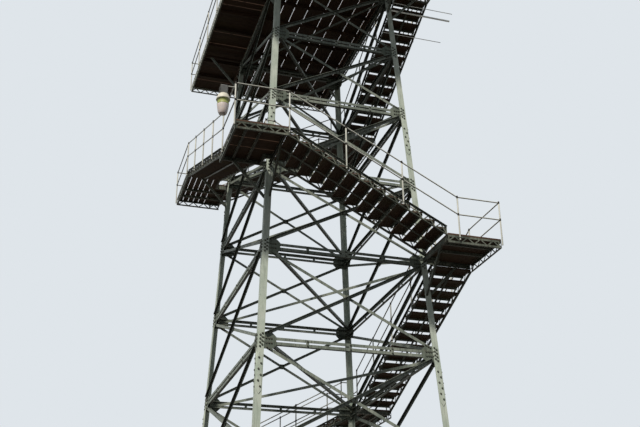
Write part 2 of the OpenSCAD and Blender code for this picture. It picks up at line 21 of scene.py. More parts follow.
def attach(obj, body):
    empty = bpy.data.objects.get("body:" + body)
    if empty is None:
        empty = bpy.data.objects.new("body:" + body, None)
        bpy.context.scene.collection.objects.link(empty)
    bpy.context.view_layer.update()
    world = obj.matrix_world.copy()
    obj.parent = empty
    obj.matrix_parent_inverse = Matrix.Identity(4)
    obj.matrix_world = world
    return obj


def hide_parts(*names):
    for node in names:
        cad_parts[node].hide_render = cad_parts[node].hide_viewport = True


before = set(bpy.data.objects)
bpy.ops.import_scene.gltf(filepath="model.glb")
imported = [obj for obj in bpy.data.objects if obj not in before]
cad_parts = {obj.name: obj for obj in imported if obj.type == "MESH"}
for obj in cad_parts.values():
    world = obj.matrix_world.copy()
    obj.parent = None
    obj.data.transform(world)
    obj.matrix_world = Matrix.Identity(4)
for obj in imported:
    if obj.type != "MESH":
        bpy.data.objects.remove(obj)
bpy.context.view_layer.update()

LOG = logging.getLogger("tower")
Shell = tuple[np.ndarray, list[tuple[int, ...]]]
Point = tuple[float, float, float]


class Face(Enum):
    """A face of the tower, by its place in the order in which the stair climbs them."""

    FRONT = 0
    LEFT = 1
    BACK = 2
    RIGHT = 3

    @property
    def turn(self) -> float:
        """Turn of the face about the upright axis, in degrees."""
        return (0.0, -90.0, 180.0, 90.0)[self.value]


class Lie(Enum):
    """The axis that a timber's length lies along."""

    ALONG_X = 0
    ALONG_Y = 1


class End(Enum):
    """Which end of a bolt shows."""

    HEAD = "head"
    NUT = "nut"


@dataclass(frozen=True)
class TowerPlan:
    """The tower's measures, repeated from its source, and the places that follow from them."""

    base_half: tuple[float, float] = (2.71, 3.88)
    top_half: tuple[float, float] = (1.79, 2.5)
    leg_w: float = 0.16
    leg_t: float = 0.018
    brace_w: float = 0.075
    brace_t: float = 0.008
    strut_gap: float = 0.04
    battens: int = 4
    gusset_h: float = 0.42
    gusset_t: float = 0.01
    foot_t: float = 0.03
    anchor_pitch: float = 0.36
    riser: float = 0.168
    stair_w: float = 1.1
    end_stair_w: float = 1.45
    stair_off: tuple[float, float, float, float] = (0.15, 0.14, 0.56, 0.14)
    landing_in: float = 0.1
    tread_t: float = 0.045
    tread_lap: float = 0.02
    stringer_up: float = 0.02
    stringer_under: float = 0.01
    chord_w: float = 0.05
    chord_t: float = 0.006
    board_t: float = 0.05
    rail_h: float = 1.05
    rail_d: float = 0.042
    post_pitch: float = 1.45
    post_under: float = 0.12
    lamp_w: float = 0.35
    lamp_h: float = 0.8
    lamp_arm: float = 0.3
    lamp_drop: float = 0.2
    lamp_landing: int = 5
    tube_out: float = 0.9
    tube_d: float = 0.06
    tubes: tuple[tuple[float, float], ...] = ((0.77, 0.4), (0.92, 1.0), (0.965, 0.4))
    platform_side: float = 1.3
    platform_end: float = 2.2
    platform_right: float = 0.13
    joist_w: float = 0.07
    joist_h: float = 0.1
    joists: int = 9
    storey_steps: tuple[int, ...] = (17, 17, 16, 15, 14, 14, 13, 13)
    seat: float = 0.0003

    @property
    def storeys(self) -> int:
        """Number of storeys."""
        return len(self.storey_steps)

    @property
    def top(self) -> float:
        """Height of the top ring."""
        return self.level(self.storeys)

    @property
    def strut_h(self) -> float:
        """Height of a ring strut over its two angles."""
        return 2 * self.brace_w + self.strut_gap

    @property
    def strut_y(self) -> float:
        """Depth of a ring strut's outer side behind its face."""
        return self.leg_t + self.gusset_t + 2 * self.seat

    @property
    def rail_off(self) -> float:
        """Distance of a rail's middle from the edge that it stands beside."""
        return self.seat + self.rail_d / 2

    @property
    def rail_heights(self) -> tuple[float, float]:
        """Heights of the top rail and the knee rail."""
        return self.rail_h - self.rail_d, self.rail_h / 2

    def level(self, k: int) -> float:
        """Height of ring k."""
        return self.riser * sum(self.storey_steps[:k])

    def half(self, axis: int, z: float) -> float:
        """Half of the width between the leg corners along an axis, at a height."""
        low, high = self.base_half[axis], self.top_half[axis]
        return low + (high - low) * z / self.top

    def perp(self, face: Face, z: float) -> float:
        """A face's distance from the tower's axis, at a height."""
        return self.half(1 - face.value % 2, z)

    def span(self, face: Face, z: float) -> float:
        """Half of a face's width, at a height."""
        return self.half(face.value % 2, z)

    def tilt(self, face: Face) -> float:
        """Lean of a face, in radians."""
        return math.atan((self.perp(face, 0) - self.perp(face, self.top)) / self.top)

    def slant(self, face: Face, z: float) -> float:
        """Length up a leaning face that reaches a height."""
        return z / math.cos(self.tilt(face))

    def stair_face(self, s: int) -> Face:
        """The face that flight s climbs."""
        return Face(s % 4)

    def landing_top(self, k: int) -> float:
        """Height of the boards of landing k; landing 0 is the ground.

        Args:
            k: the landing's number.

        Returns:
            The height of its boards' tops.
        """
        if k == 0:
            return 0.0
        return self.level(k) + self.riser * (2 if k == self.storeys else 1)

    def flight_steps(self, s: int) -> int:
        """Risers of flight s."""
        return round((self.landing_top(s + 1) - self.landing_top(s)) / self.riser)

    def low_end(self, s: int) -> float:
        """Distance of flight s's lower end from the tower's axis."""
        return self.span(self.stair_face(s), self.level(s)) - self.landing_in

    def high_end(self, s: int) -> float:
        """Distance of flight s's upper end from the tower's axis."""
        return self.span(self.stair_face(s), self.level(s + 1)) - self.landing_in

    def run(self, s: int) -> float:
        """Level length of flight s."""
        return self.low_end(s) + self.high_end(s)

    def going(self, s: int) -> float:
        """Level length of one step of flight s."""
        return self.run(s) / (self.flight_steps(s) - 1)

    def width(self, s: int) -> float:
        """Width of flight s over its stringers."""
        return self.stair_w if s % 2 else self.end_stair_w

    def inner_side(self, s: int) -> float:
        """Distance of flight s's inner side from the tower's axis."""
        return self.perp(self.stair_face(s), self.level(s)) + self.stair_off[s % 4]

    def outer_side(self, s: int) -> float:
        """Distance of flight s's outer side from the tower's axis."""
        return self.inner_side(s) + self.width(s)

    def nosing(self, s: int, x: float) -> float:
        """Height of the line through flight s's nosings, above its lower landing."""
        return self.riser + x * self.riser / self.going(s)

    def stringer_drop(self, s: int) -> float:
        """Depth of flight s's stringers below the line through its nosings."""
        return self.riser + self.tread_t + self.tread_lap * self.riser / self.going(s) + self.stringer_under

    @property
    def deck_sides(self) -> tuple[float, float]:
        """The left and the right side of the platform's main part."""
        return -self.top_half[0] - self.platform_side, self.top_half[0] + self.platform_right

    @property
    def reach(self) -> float:
        """Half of the platform's depth."""
        return self.top_half[1] + self.platform_end

    @property
    def arrival(self) -> tuple[float, float]:
        """The last flight's upper end and outer side, where the platform's right part starts and ends."""
        last = self.storeys - 1
        return -self.high_end(last), self.outer_side(last)

    def bays(self, length: float) -> int:
        """Number of railing bays in a length."""
        return max(1, round(length / self.post_pitch))

    @property
    def on_axis(self) -> Matrix:
        """The tower's own axis in the frame, whose origin is the middle of the footprint.

        Returns:
            The move from the tower's axis to the frame.
        """
        last = self.storeys - 1
        edge = self.rail_off + self.rail_d / 2
        x = (self.outer_side(last) + self.tube_out - self.outer_side(1) - edge) / 2
        y = (self.outer_side(2) - self.outer_side(0)) / 2
        return Matrix.Translation((-x, -y, 0))

    def on_face(self, face: Face) -> Matrix:
        """A leaning face: X to the right seen from outside, Y inwards, Z up the batter.

        Args:
            face: which face.

        Returns:
            Its place in the frame, from the middle of its lower edge.
        """
        turn = Matrix.Rotation(math.radians(face.turn), 4, "Z")
        lean = Matrix.Rotation(-self.tilt(face), 4, "X")
        return self.on_axis @ turn @ Matrix.Translation((0, -self.perp(face, 0), 0)) @ lean

    def on_flight(self, s: int) -> Matrix:
        """A flight: X along the climb, Y outwards, Z from the lower landing.

        Args:
            s: the flight's number.

        Returns:
            Its place in the frame, from the inner side of its lower end.
        """
        turn = Matrix.Rotation(math.radians(self.stair_face(s).turn + 180), 4, "Z")
        start = (-self.low_end(s), self.inner_side(s), self.landing_top(s))
        return self.on_axis @ turn @ Matrix.Translation(start)

    def on_corner(self, k: int) -> Matrix:
        """A landing: X towards the corner, Y outwards on the side of the flight that arrives."""
        turn = Matrix.Rotation(math.radians(self.stair_face(k - 1).turn + 180), 4, "Z")
        return self.on_axis @ turn @ Matrix.Translation((0, 0, self.landing_top(k)))

    @property
    def on_platform(self) -> Matrix:
        """The top of the platform's boards."""
        return self.on_axis @ Matrix.Translation((0, 0, self.landing_top(self.storeys)))


# Colours and nodes


def linear(code: str) -> tuple[float, float, float, float]:
    """Turn an sRGB hex value to the linear colour that the shaders take.

    Args:
        code: six hex digits.

    Returns:
        Linear red, green, blue and an alpha of 1.
    """
    parts = [int(code[i : i + 2], 16) / 255 for i in (0, 2, 4)]
    red, green, blue = (p / 12.92 if p <= 0.04045 else ((p + 0.055) / 1.055) ** 2.4 for p in parts)
    return red, green, blue, 1.0


def add(tree: bpy.types.NodeTree, kind: str, inputs: dict | None = None, **settings) -> bpy.types.Node:
    """Add a node to a tree.

    Args:
        tree: the node tree.
        kind: the node's type name without its first words.
        inputs: values or other nodes' outputs, by the name or number of the input.
        settings: the node's own properties.

    Returns:
        The new node.
    """
    made = tree.nodes.new("ShaderNode" + kind)
    for name, value in settings.items():
        setattr(made, name, value)
    for key, value in (inputs or {}).items():
        if isinstance(value, bpy.types.NodeSocket):
            tree.links.new(value, made.inputs[key])
        else:
            made.inputs[key].default_value = value
    return made


@dataclass(frozen=True)
class Finish:
    """A finish by its real name, and the one material that shows it."""

    name: str
    relief: ClassVar[tuple[float, float]]

    @cache
    def material(self) -> bpy.types.Material:
        """Build the material once.

        Returns:
            The material, the same one each time.
        """
        made = bpy.data.materials.new(self.name)
        made.use_nodes = True
        tree = made.node_tree
        self.pattern(tree, add(tree, "TexCoord").outputs["Object"])
        return made

    def pattern(self, tree: bpy.types.NodeTree, place: bpy.types.NodeSocket) -> None:
        """Build the patterns of the finish."""
        raise NotImplementedError

    def lay(self, tree: bpy.types.NodeTree, ground: str, coats: list[tuple[bpy.types.Node, str]],
            rough: bpy.types.Node, lumps: bpy.types.NodeSocket, plain: dict,
            tone: bpy.types.Node | None = None) -> None:
        """Lay coats of colour over each other and lead them, the roughness and a bump into the shader.

        The bump's strength, and its height in metres, are the class's relief.

        Args:
            tree: the material's node tree.
            ground: the lowest coat's colour.
            coats: for each coat over it, the node that says where it shows, and its colour.
            rough: gives the roughness.
            lumps: the pattern of the bump.
            plain: what is the same all over, by the shader's own words.
            tone: changes the colour last, where there is one.
        """
        shader = tree.nodes["Principled BSDF"]
        colour = linear(ground)
        for share, over in coats:
            mixed = add(tree, "Mix", {0: share.outputs[0], 6: colour, 7: linear(over)}, data_type="RGBA")
            colour = mixed.outputs[2]
        if tone is not None:
            tree.links.new(colour, tone.inputs["Color"])
            colour = tone.outputs[0]
        strength, deep = self.relief
        bump = add(tree, "Bump", {"Height": lumps, "Strength": strength, "Distance": deep})
        tree.links.new(colour, shader.inputs["Base Color"])
        tree.links.new(rough.outputs[0], shader.inputs["Roughness"])
        tree.links.new(bump.outputs[0], shader.inputs["Normal"])
        for word, value in plain.items():
            shader.inputs[word].default_value = value


@dataclass(frozen=True)
class PaintedSteel(Finish):
    """Paint brushed on steel or iron: matt and chalked, with dirt runs, rust, and painted shade on the
    undersides.

    Chalk patches and dirt runs have their real sizes. Rust freckles of 5 to 10 mm are drawn at 35 mm, except
    on bolts and clamps, and brush strokes of 2 mm at 6 mm, except on clamps, because finer ones don't show
    from 24 m away.
    """

    relief: ClassVar[tuple[float, float]] = (0.35, 0.001)
    paint: str
    chalk: str
    dirt: str
    rust: str = "6a4229"
    # Painted shade: the colour that faces looking down are darkened towards
    underside_shade: str = "20231f"
    rust_from: float = 0.66
    dirt_share: float = 0.55
    # Painted shade: how far faces looking down are darkened
    underside_shade_share: float = 0.85
    roughness: tuple[float, float] = (0.42, 0.68)
    patch: float = 0.42
    run_wide: float = 0.03
    run_long: float = 0.55
    freckle: float = 0.035
    brush: float = 0.006
    gloss: float = 0.16

    def pattern(self, tree: bpy.types.NodeTree, place: bpy.types.NodeSocket) -> None:
        """Chalked patches, dirt runs, dirt on what lies flat, painted shade below, rust and brush strokes.

        Args:
            tree: the material's node tree.
            place: gives each point's place on the object.
        """
        patches = add(tree, "TexNoise", {"Vector": place, "Scale": 1 / self.patch, "Detail": 5,
                                         "Roughness": 0.62})
        wide = (1 / self.run_wide, 1 / self.run_wide, 1 / self.run_long)
        drawn = add(tree, "Mapping", {"Vector": place, "Scale": wide})
        runs = add(tree, "TexNoise", {"Vector": drawn.outputs[0], "Scale": 1, "Detail": 4})
        freckles = add(tree, "TexNoise", {"Vector": place, "Scale": 1 / self.freckle, "Detail": 6,
                                          "Roughness": 0.7})
        chalked = add(tree, "MapRange", {"Value": patches.outputs["Fac"], "From Min": 0.38, "From Max": 0.62})
        streaked = add(tree, "MapRange", {"Value": runs.outputs["Fac"], "From Min": 0.48, "From Max": 0.72,
                                          "To Max": self.dirt_share})
        up = add(tree, "SeparateXYZ", {0: add(tree, "NewGeometry").outputs["Normal"]}).outputs["Z"]
        lying = add(tree, "MapRange", {"Value": up, "From Min": 0.3, "From Max": 0.95,
                                       "To Max": self.dirt_share})
        dirty = add(tree, "Math", {0: streaked.outputs[0], 1: lying.outputs[0]}, operation="MAXIMUM")
        rusty = add(tree, "MapRange", {"Value": freckles.outputs["Fac"], "From Min": self.rust_from,
                                       "From Max": self.rust_from + 0.06})
        # Painted shade: faces that look down are darkened towards the underside colour
        under = add(tree, "MapRange", {"Value": up, "From Min": -0.3, "From Max": -0.9,
                                       "To Max": self.underside_shade_share})
        coats = [(chalked, self.chalk), (dirty, self.dirt), (under, self.underside_shade), (rusty, self.rust)]
        rough = add(tree, "MapRange", {"Value": runs.outputs["Fac"], "From Min": 0.3, "From Max": 0.7,
                                       "To Min": self.roughness[0], "To Max": self.roughness[1]})
        strokes = add(tree, "TexNoise", {"Vector": place, "Scale": 1 / self.brush, "Detail": 3})
        stroke = strokes.outputs["Fac"]
        lump = add(tree, "Math", {0: stroke, 1: rusty.outputs[0], 2: stroke}, operation="MULTIPLY_ADD")
        self.lay(tree, self.paint, coats, rough, lump.outputs[0], {"Specular IOR Level": self.gloss})


@dataclass(frozen=True)
class StainedTimber(Finish):
    """Sawn softwood with a dark stain: grain along each board, greyed where rain and boots reach it.

    Knots have their real size. Growth rings of 2 to 4 mm are drawn at 11 mm, because finer ones don't show
    from 24 m away.
    """

    relief: ClassVar[tuple[float, float]] = (0.6, 0.0012)
    stain: str
    grain: str
    worn: str
    # The dark colour of the knots, which also serves as painted shade on faces that look down
    knot_and_shade: str
    algae: str
    ring: float = 0.011
    grain_long: float = 0.55
    knot_long: float = 0.7
    knot_wide: float = 0.09
    patch: float = 0.6
    gloss: float = 0.12

    def pattern(self, tree: bpy.types.NodeTree, place: bpy.types.NodeSocket) -> None:
        """Grain and knots along each board, greyed tops, undersides darkened as painted shade with green
        algae in patches, and each board's own tone.

        Args:
            tree: the material's node tree.
            place: gives each point's place on the object.
        """
        along = add(tree, "Attribute", attribute_name="grain").outputs["Vector"]
        own = add(tree, "Attribute", attribute_name="tone").outputs["Fac"]
        fine = (1 / self.grain_long, 1 / self.ring, 1 / self.ring)
        drawn = add(tree, "Mapping", {"Vector": along, "Scale": fine})
        rings = add(tree, "TexNoise", {"Vector": drawn.outputs[0], "Scale": 1, "Detail": 6, "Roughness": 0.65,
                                       "Distortion": 0.4})
        lines = add(tree, "MapRange", {"Value": rings.outputs["Fac"], "From Min": 0.36, "From Max": 0.66})
        apart = (1 / self.knot_long, 1 / self.knot_wide, 0.4)
        spread = add(tree, "Mapping", {"Vector": along, "Scale": apart})
        cells = add(tree, "TexVoronoi", {"Vector": spread.outputs[0], "Scale": 1})
        knots = add(tree, "MapRange", {"Value": cells.outputs["Distance"], "From Min": 0.05, "From Max": 0.12,
                                       "To Min": 1, "To Max": 0})
        blotch = add(tree, "TexNoise", {"Vector": place, "Scale": 1 / self.patch, "Detail": 4,
                                        "Roughness": 0.6})
        up = add(tree, "SeparateXYZ", {0: add(tree, "NewGeometry").outputs["Normal"]}).outputs["Z"]
        trodden = add(tree, "MapRange", {"Value": up, "From Min": -0.4, "From Max": 0.6, "To Max": 0.8})
        # Painted shade: faces that look down are darkened towards the knots' dark colour, and the algae shows
        # only there
        under = add(tree, "MapRange", {"Value": up, "From Min": -0.25, "From Max": -0.9, "To Max": 0.85})
        green = add(tree, "MapRange", {"Value": blotch.outputs["Fac"], "From Min": 0.5, "From Max": 0.64,
                                       "To Max": 0.6})
        shady = add(tree, "Math", {0: green.outputs[0], 1: under.outputs[0]}, operation="MULTIPLY")
        coats = [(lines, self.grain), (trodden, self.worn), (under, self.knot_and_shade), (shady, self.algae),
                 (knots, self.knot_and_shade)]
        light = add(tree, "MapRange", {"Value": own, "To Min": 0.62, "To Max": 1.3})
        tone = add(tree, "HueSaturation", {"Value": light.outputs[0]})
        rough = add(tree, "MapRange", {"Value": rings.outputs["Fac"], "To Min": 0.62, "To Max": 0.92})
        plain = {"Specular IOR Level": self.gloss}
        self.lay(tree, self.stain, coats, rough, rings.outputs["Fac"], plain, tone)


@dataclass(frozen=True)
class ZincedSteel(Finish):
    """Hot-dip galvanised steel: a dull metal with a faint spangle, 6 to 14 mm, and white bloom."""

    relief: ClassVar[tuple[float, float]] = (0.12, 0.0005)
    zinc: str
    bloom: str
    metallic: float = 0.75
    spangle: float = 0.014
    patch: float = 0.2

    def pattern(self, tree: bpy.types.NodeTree, place: bpy.types.NodeSocket) -> None:
        """Flakes of spangle under clouds of bloom.

        Args:
            tree: the material's node tree.
            place: gives each point's place on the object.
        """
        flakes = add(tree, "TexVoronoi", {"Vector": place, "Scale": 1 / self.spangle})
        cloud = add(tree, "TexNoise", {"Vector": place, "Scale": 1 / self.patch, "Detail": 4})
        share = add(tree, "MapRange", {"Value": cloud.outputs["Fac"], "From Min": 0.4, "From Max": 0.65})
        flake = add(tree, "SeparateXYZ", {0: flakes.outputs["Color"]}).outputs["X"]
        rough = add(tree, "MapRange", {"Value": flake, "To Min": 0.38, "To Max": 0.6})
        self.lay(tree, self.zinc, [(share, self.bloom)], rough, flake, {"Metallic": self.metallic})


@dataclass(frozen=True)
class MouldedPlastic(Finish):
    """Moulded plastic or powder coat of an outdoor lamp: satin, with dust that settles in clouds.

    Its grain of half a millimetre is drawn at 3 mm, because a finer one doesn't show from 24 m away.
    """

    relief: ClassVar[tuple[float, float]] = (0.15, 0.0004)
    base: str
    dust: str
    roughness: float = 0.35
    patch: float = 0.11
    share: float = 0.6
    glow: float = 0.0
    glow_deep: Point = (0.03, 0.025, 0.02)
    grit: float = 0.003
    ior: float = 1.5

    def pattern(self, tree: bpy.types.NodeTree, place: bpy.types.NodeSocket) -> None:
        """Clouds of dust on a fine grain.

        Args:
            tree: the material's node tree.
            place: gives each point's place on the object.
        """
        cloud = add(tree, "TexNoise", {"Vector": place, "Scale": 1 / self.patch, "Detail": 5,
                                       "Roughness": 0.65})
        dusty = add(tree, "MapRange", {"Value": cloud.outputs["Fac"], "From Min": 0.42, "From Max": 0.64,
                                       "To Max": self.share})
        rough = add(tree, "MapRange", {"Value": cloud.outputs["Fac"], "To Min": self.roughness,
                                       "To Max": self.roughness + 0.3})
        grain = add(tree, "TexNoise", {"Vector": place, "Scale": 1 / self.grit, "Detail": 2})
        plain = {"IOR": self.ior, "Subsurface Weight": self.glow, "Subsurface Radius": self.glow_deep}
        self.lay(tree, self.base, [(dusty, self.dust)], rough, grain.outputs["Fac"], plain)


# Pale grey-green paint on the legs, chalked nearly white in the sun
LEG_PAINT = PaintedSteel("chalked_green_alkyd_on_leg", "bac8bd", "d0dad0", "7d877a", dirt_share=0.4)
# The slim bars in a darker copy of the legs' paint, as painted shade, with painted shade that turns their
# undersides nearly black
BAR_PAINT = PaintedSteel("shaded_green_alkyd_on_angle", "77817a", "99a197", "2d332e", underside_shade="171a17",
                         dirt_share=0.65, underside_shade_share=0.94)
# A younger coat on the gussets, dirty at the joints
PLATE_PAINT = PaintedSteel("green_alkyd_on_plate", "646e65", "838c81", "343b35", rust_from=0.62)
# Stair steel in a dark copy of the paint, as painted shade, with dirt runs and paler patches of chalk
STAIR_PAINT = PaintedSteel("shaded_green_alkyd_on_stair_steel", "535a52", "868d82", "222621", rust_from=0.6,
                           dirt_share=0.8)
# The landings' steel in the stair paint, with painted shade that turns its undersides black under the boards
LANDING_PAINT = replace(STAIR_PAINT, name="shaded_green_alkyd_on_landing_steel", underside_shade="14130f",
                        underside_shade_share=0.97)
# The platform's edge beams in a pale copy of the stair steel's paint: painted light, as they look where the
# sun falls on them
EDGE_PAINT = PaintedSteel("sunlit_green_alkyd_on_edge_beam", "c6cec4", "dbe2da", "858e80", dirt_share=0.35)
# Bolts painted over with the steel, with rust at their edges
BOLT_PAINT = PaintedSteel("green_alkyd_on_bolts", "565e56", "70786f", "2e332e", rust_from=0.56, patch=0.05,
                          freckle=0.012)
# Pale grey enamel on tube, polished by hands: the railing is the lightest part
RAIL_PAINT = PaintedSteel("pale_grey_enamel_on_tube", "c3c7bf", "d3d5ce", "8d9088", rust_from=0.7,
                          dirt_share=0.35, roughness=(0.3, 0.5), patch=0.25, gloss=0.4)
# Malleable iron clamps with worn black varnish: dark dots where rail and post cross
CLAMP_IRON = PaintedSteel("black_varnish_on_malleable_iron", "2b2c2a", "3b3c39", "1f1f1d", rust="4b3325",
                          rust_from=0.55, patch=0.08, freckle=0.01, brush=0.002)
# Softwood stained red-brown, tops greyed; undersides painted near black as shade, with green algae in places
OLD_BOARDS = StainedTimber("stained_sawn_larch", "543d30", "33231b", "6f5e53", "22170f", "292413")
# Deck joists, creosoted: darker than the boards and with a coarser grain
OLD_JOISTS = StainedTimber("creosoted_pine_beams", "38261c", "23160f", "5a4b40", "1f150e", "28230f",
                           ring=0.016)
# Dull zinc on tube and on bolts, which catches the light
TUBE_ZINC = ZincedSteel("dull_galvanised_tube", "8d9092", "a7aaa8")
BOLT_ZINC = ZincedSteel("weathered_zinc_on_bolts", "77776f", "8f8b7c", metallic=0.6, spangle=0.006,
                        patch=0.03)
# Grey gear box of the lamp, cast and powder coated
LAMP_CAP = MouldedPlastic("grey_powder_coat_on_cast_box", "7d8082", "9a9a94", roughness=0.5)
# White moulded shade, yellowed by the sun
LAMP_SHADE = MouldedPlastic("white_moulded_polycarbonate", "e2e0d4", "c8c6b4")
# Yellow-green ring under the shade
LAMP_BAND = MouldedPlastic("yellow_green_moulded_acrylic", "a9b262", "8e9868", roughness=0.4, glow=0.2)
# Opal cup, clouded inside with a pinkish cast
LAMP_CUP = MouldedPlastic("clouded_opal_acrylic", "ebe2de", "d2bfc0", roughness=0.2, patch=0.16, glow=0.35)


# Shells and meshes


def lathe(profile: list[tuple[float, float]], sides: int) -> Shell:
    """Turn a profile about Z.

    Args:
        profile: radius and height of each point from the bottom up; the first and last lie on the axis.
        sides: points round the axis.

    Returns:
        The points and faces of a closed shell.
    """
    angles = np.arange(sides) * 2 * math.pi / sides
    rings = [np.column_stack([r * np.cos(angles), r * np.sin(angles), np.full(sides, z)])
             for r, z in profile[1:-1]]
    points = np.concatenate(rings)
    faces = [tuple(reversed(range(sides)))]
    for i in range(len(rings) - 1):
        for j in range(sides):
            k = (j + 1) % sides
            faces.append((i * sides + j, i * sides + k, (i + 1) * sides + k, (i + 1) * sides + j))
    faces.append(tuple(range((len(rings) - 1) * sides, len(rings) * sides)))
    return points, faces


def rod(radius: float, length: float, sides: int, soft: float = 0.15) -> Shell:
    """A round bar up Z with rounded rims.

    Args:
        radius: half of its thickness.
        length: its length.
        sides: points round it.
        soft: the rims' share of the radius.

    Returns:
        The points and faces.
    """
    rim = radius * soft
    return lathe([(0, 0), (radius - rim, 0), (radius, rim), (radius, length - rim), (radius - rim, length),
                  (0, length)], sides)


def outward(points: np.ndarray, faces: list[tuple[int, ...]]) -> list[tuple[int, ...]]:
    """Turn the faces of a convex shell so that they look outwards.

    Args:
        points: the shell's points.
        faces: its faces, turned either way.

    Returns:
        The turned faces.
    """
    middle = points.mean(0)
    turned = []
    for face in faces:
        a, b, c = (points[i] for i in face[:3])
        looks_out = np.dot(np.cross(b - a, c - a), points[list(face)].mean(0) - middle) > 0
        turned.append(face if looks_out else tuple(reversed(face)))
    return turned


@cache
def block_faces() -> tuple[tuple[int, ...], ...]:
    """Faces of a box whose edges are cut off: three points a corner, each on one of the box's sides.

    Returns:
        The points of each face, by their number.
    """
    corners = list(itertools.product((0, 1), repeat=3))
    index = {(corner, axis): 3 * i + axis for i, corner in enumerate(corners) for axis in range(3)}
    faces = []
    for axis in range(3):
        u, v = (axis + 1) % 3, (axis + 2) % 3
        for side in (0, 1):
            ring = []
            for a, b in ((0, 0), (1, 0), (1, 1), (0, 1)):
                corner = [0, 0, 0]
                corner[axis], corner[u], corner[v] = side, a, b
                ring.append(index[tuple(corner), axis])
            faces.append(tuple(ring))
        for a, b in itertools.product((0, 1), repeat=2):
            low, high = [0, 0, 0], [0, 0, 0]
            low[axis], low[u], low[v] = 0, a, b
            high[axis], high[u], high[v] = 1, a, b
            start, stop = tuple(low), tuple(high)
            faces.append((index[start, u], index[stop, u], index[stop, v], index[start, v]))
    faces.extend(tuple(index[corner, axis] for axis in range(3)) for corner in corners)
    unit = block_points((0, 0, 0), (1, 1, 1), 0.2)
    return tuple(outward(unit, faces))


def block_points(low: Point, high: Point, cut: float) -> np.ndarray:
    """Points of a box whose edges are cut off by a given width.

    Args:
        low: lowest corner.
        high: highest corner.
        cut: width of the cut edges.

    Returns:
        Three points a corner, in the order of block_faces.
    """
    ends = (low, high)
    points = []
    for corner in itertools.product((0, 1), repeat=3):
        for axis in range(3):
            points.append([ends[side][i] + (0 if i == axis else cut * (1 - 2 * side))
                           for i, side in enumerate(corner)])
    return np.array(points)


def block(low: Point, high: Point, cut: float = 0.001) -> Shell:
    """A box with its edges cut off."""
    return block_points(low, high, cut), list(block_faces())


def plate(outline: list[tuple[float, float]], thick: float) -> Shell:
    """A flat plate: a convex outline in X and Z, with its thickness along Y from 0.

    Args:
        outline: the corners in X and Z, in order.
        thick: its thickness.

    Returns:
        The points and faces.
    """
    n = len(outline)
    points = np.array([(x, y, z) for y in (0.0, thick) for x, z in outline])
    sides = [(i, (i + 1) % n, n + (i + 1) % n, n + i) for i in range(n)]
    return points, outward(points, [tuple(range(n)), tuple(range(n, 2 * n)), *sides])


def merged(*shells: Shell) -> Shell:
    """Several shells as one.

    Args:
        shells: points and faces of each.

    Returns:
        The points and faces of all.
    """
    points, faces, count = [], [], 0
    for at, loops in shells:
        points.append(at)
        faces.extend(tuple(i + count for i in loop) for loop in loops)
        count += len(at)
    return np.concatenate(points), faces


def raised(shell: Shell, z: float) -> Shell:
    """A shell moved up."""
    return shell[0] + np.array([0, 0, z]), shell[1]


def thirds(a: float, b: float) -> list[float]:
    """The two places that split a length in three."""
    return [a + i * (b - a) / 3 for i in (1, 2)]


# A bolt's proportions: heights are shares of the hexagon's width over corners, and half widths of half of it
HEX_HIGH, HEX_FLANK, HEX_CROWN = 0.36, 0.8, 0.84
WASHER_HALF, WASHER_HIGH = 1.25, 0.09
THREAD_HALF, THREAD_HIGH = 0.52, 0.75
# Half of a low dome's outline, in shares of half of its width
DOME = ((0, 0), (1, 0), (0.8, 0.28), (0.4, 0.42), (0, 0.42))
# Edges sharper than this stay sharp
SHARP = math.radians(38)
# Each timber shows its own part of a grain pattern this long, in metres
GRAIN_LONG = 40.0


@cache
def bolt(across: float, end: End = End.HEAD) -> Shell:
    """What shows of a bolt on +Z: a washer under a chamfered hexagon, and a stub of thread past a nut.

    Args:
        across: width of the hexagon over its corners.
        end: the head, or the nut with its thread.

    Returns:
        The points and faces.
    """
    r, high = across / 2, across * HEX_HIGH
    washer = rod(r * WASHER_HALF, across * WASHER_HIGH, 12)
    hexagon = lathe([(0, 0), (r, 0), (r, high * HEX_FLANK), (r * HEX_CROWN, high), (0, high)], 6)
    parts = [washer, raised(hexagon, across * WASHER_HIGH)]
    if end is End.NUT:
        parts.append(rod(r * THREAD_HALF, across * THREAD_HIGH, 8))
    return merged(*parts)


@cache
def dome(across: float) -> Shell:
    """A low domed bolt head or nail head on +Z."""
    return lathe([(x * across / 2, z * across / 2) for x, z in DOME], 8)


def facing(at: Point, way: Point) -> Matrix:
    """A place at a point with +Z turned to look a given way."""
    return Matrix.Translation(at) @ Vector(way).to_track_quat("Z", "Y").to_matrix().to_4x4()


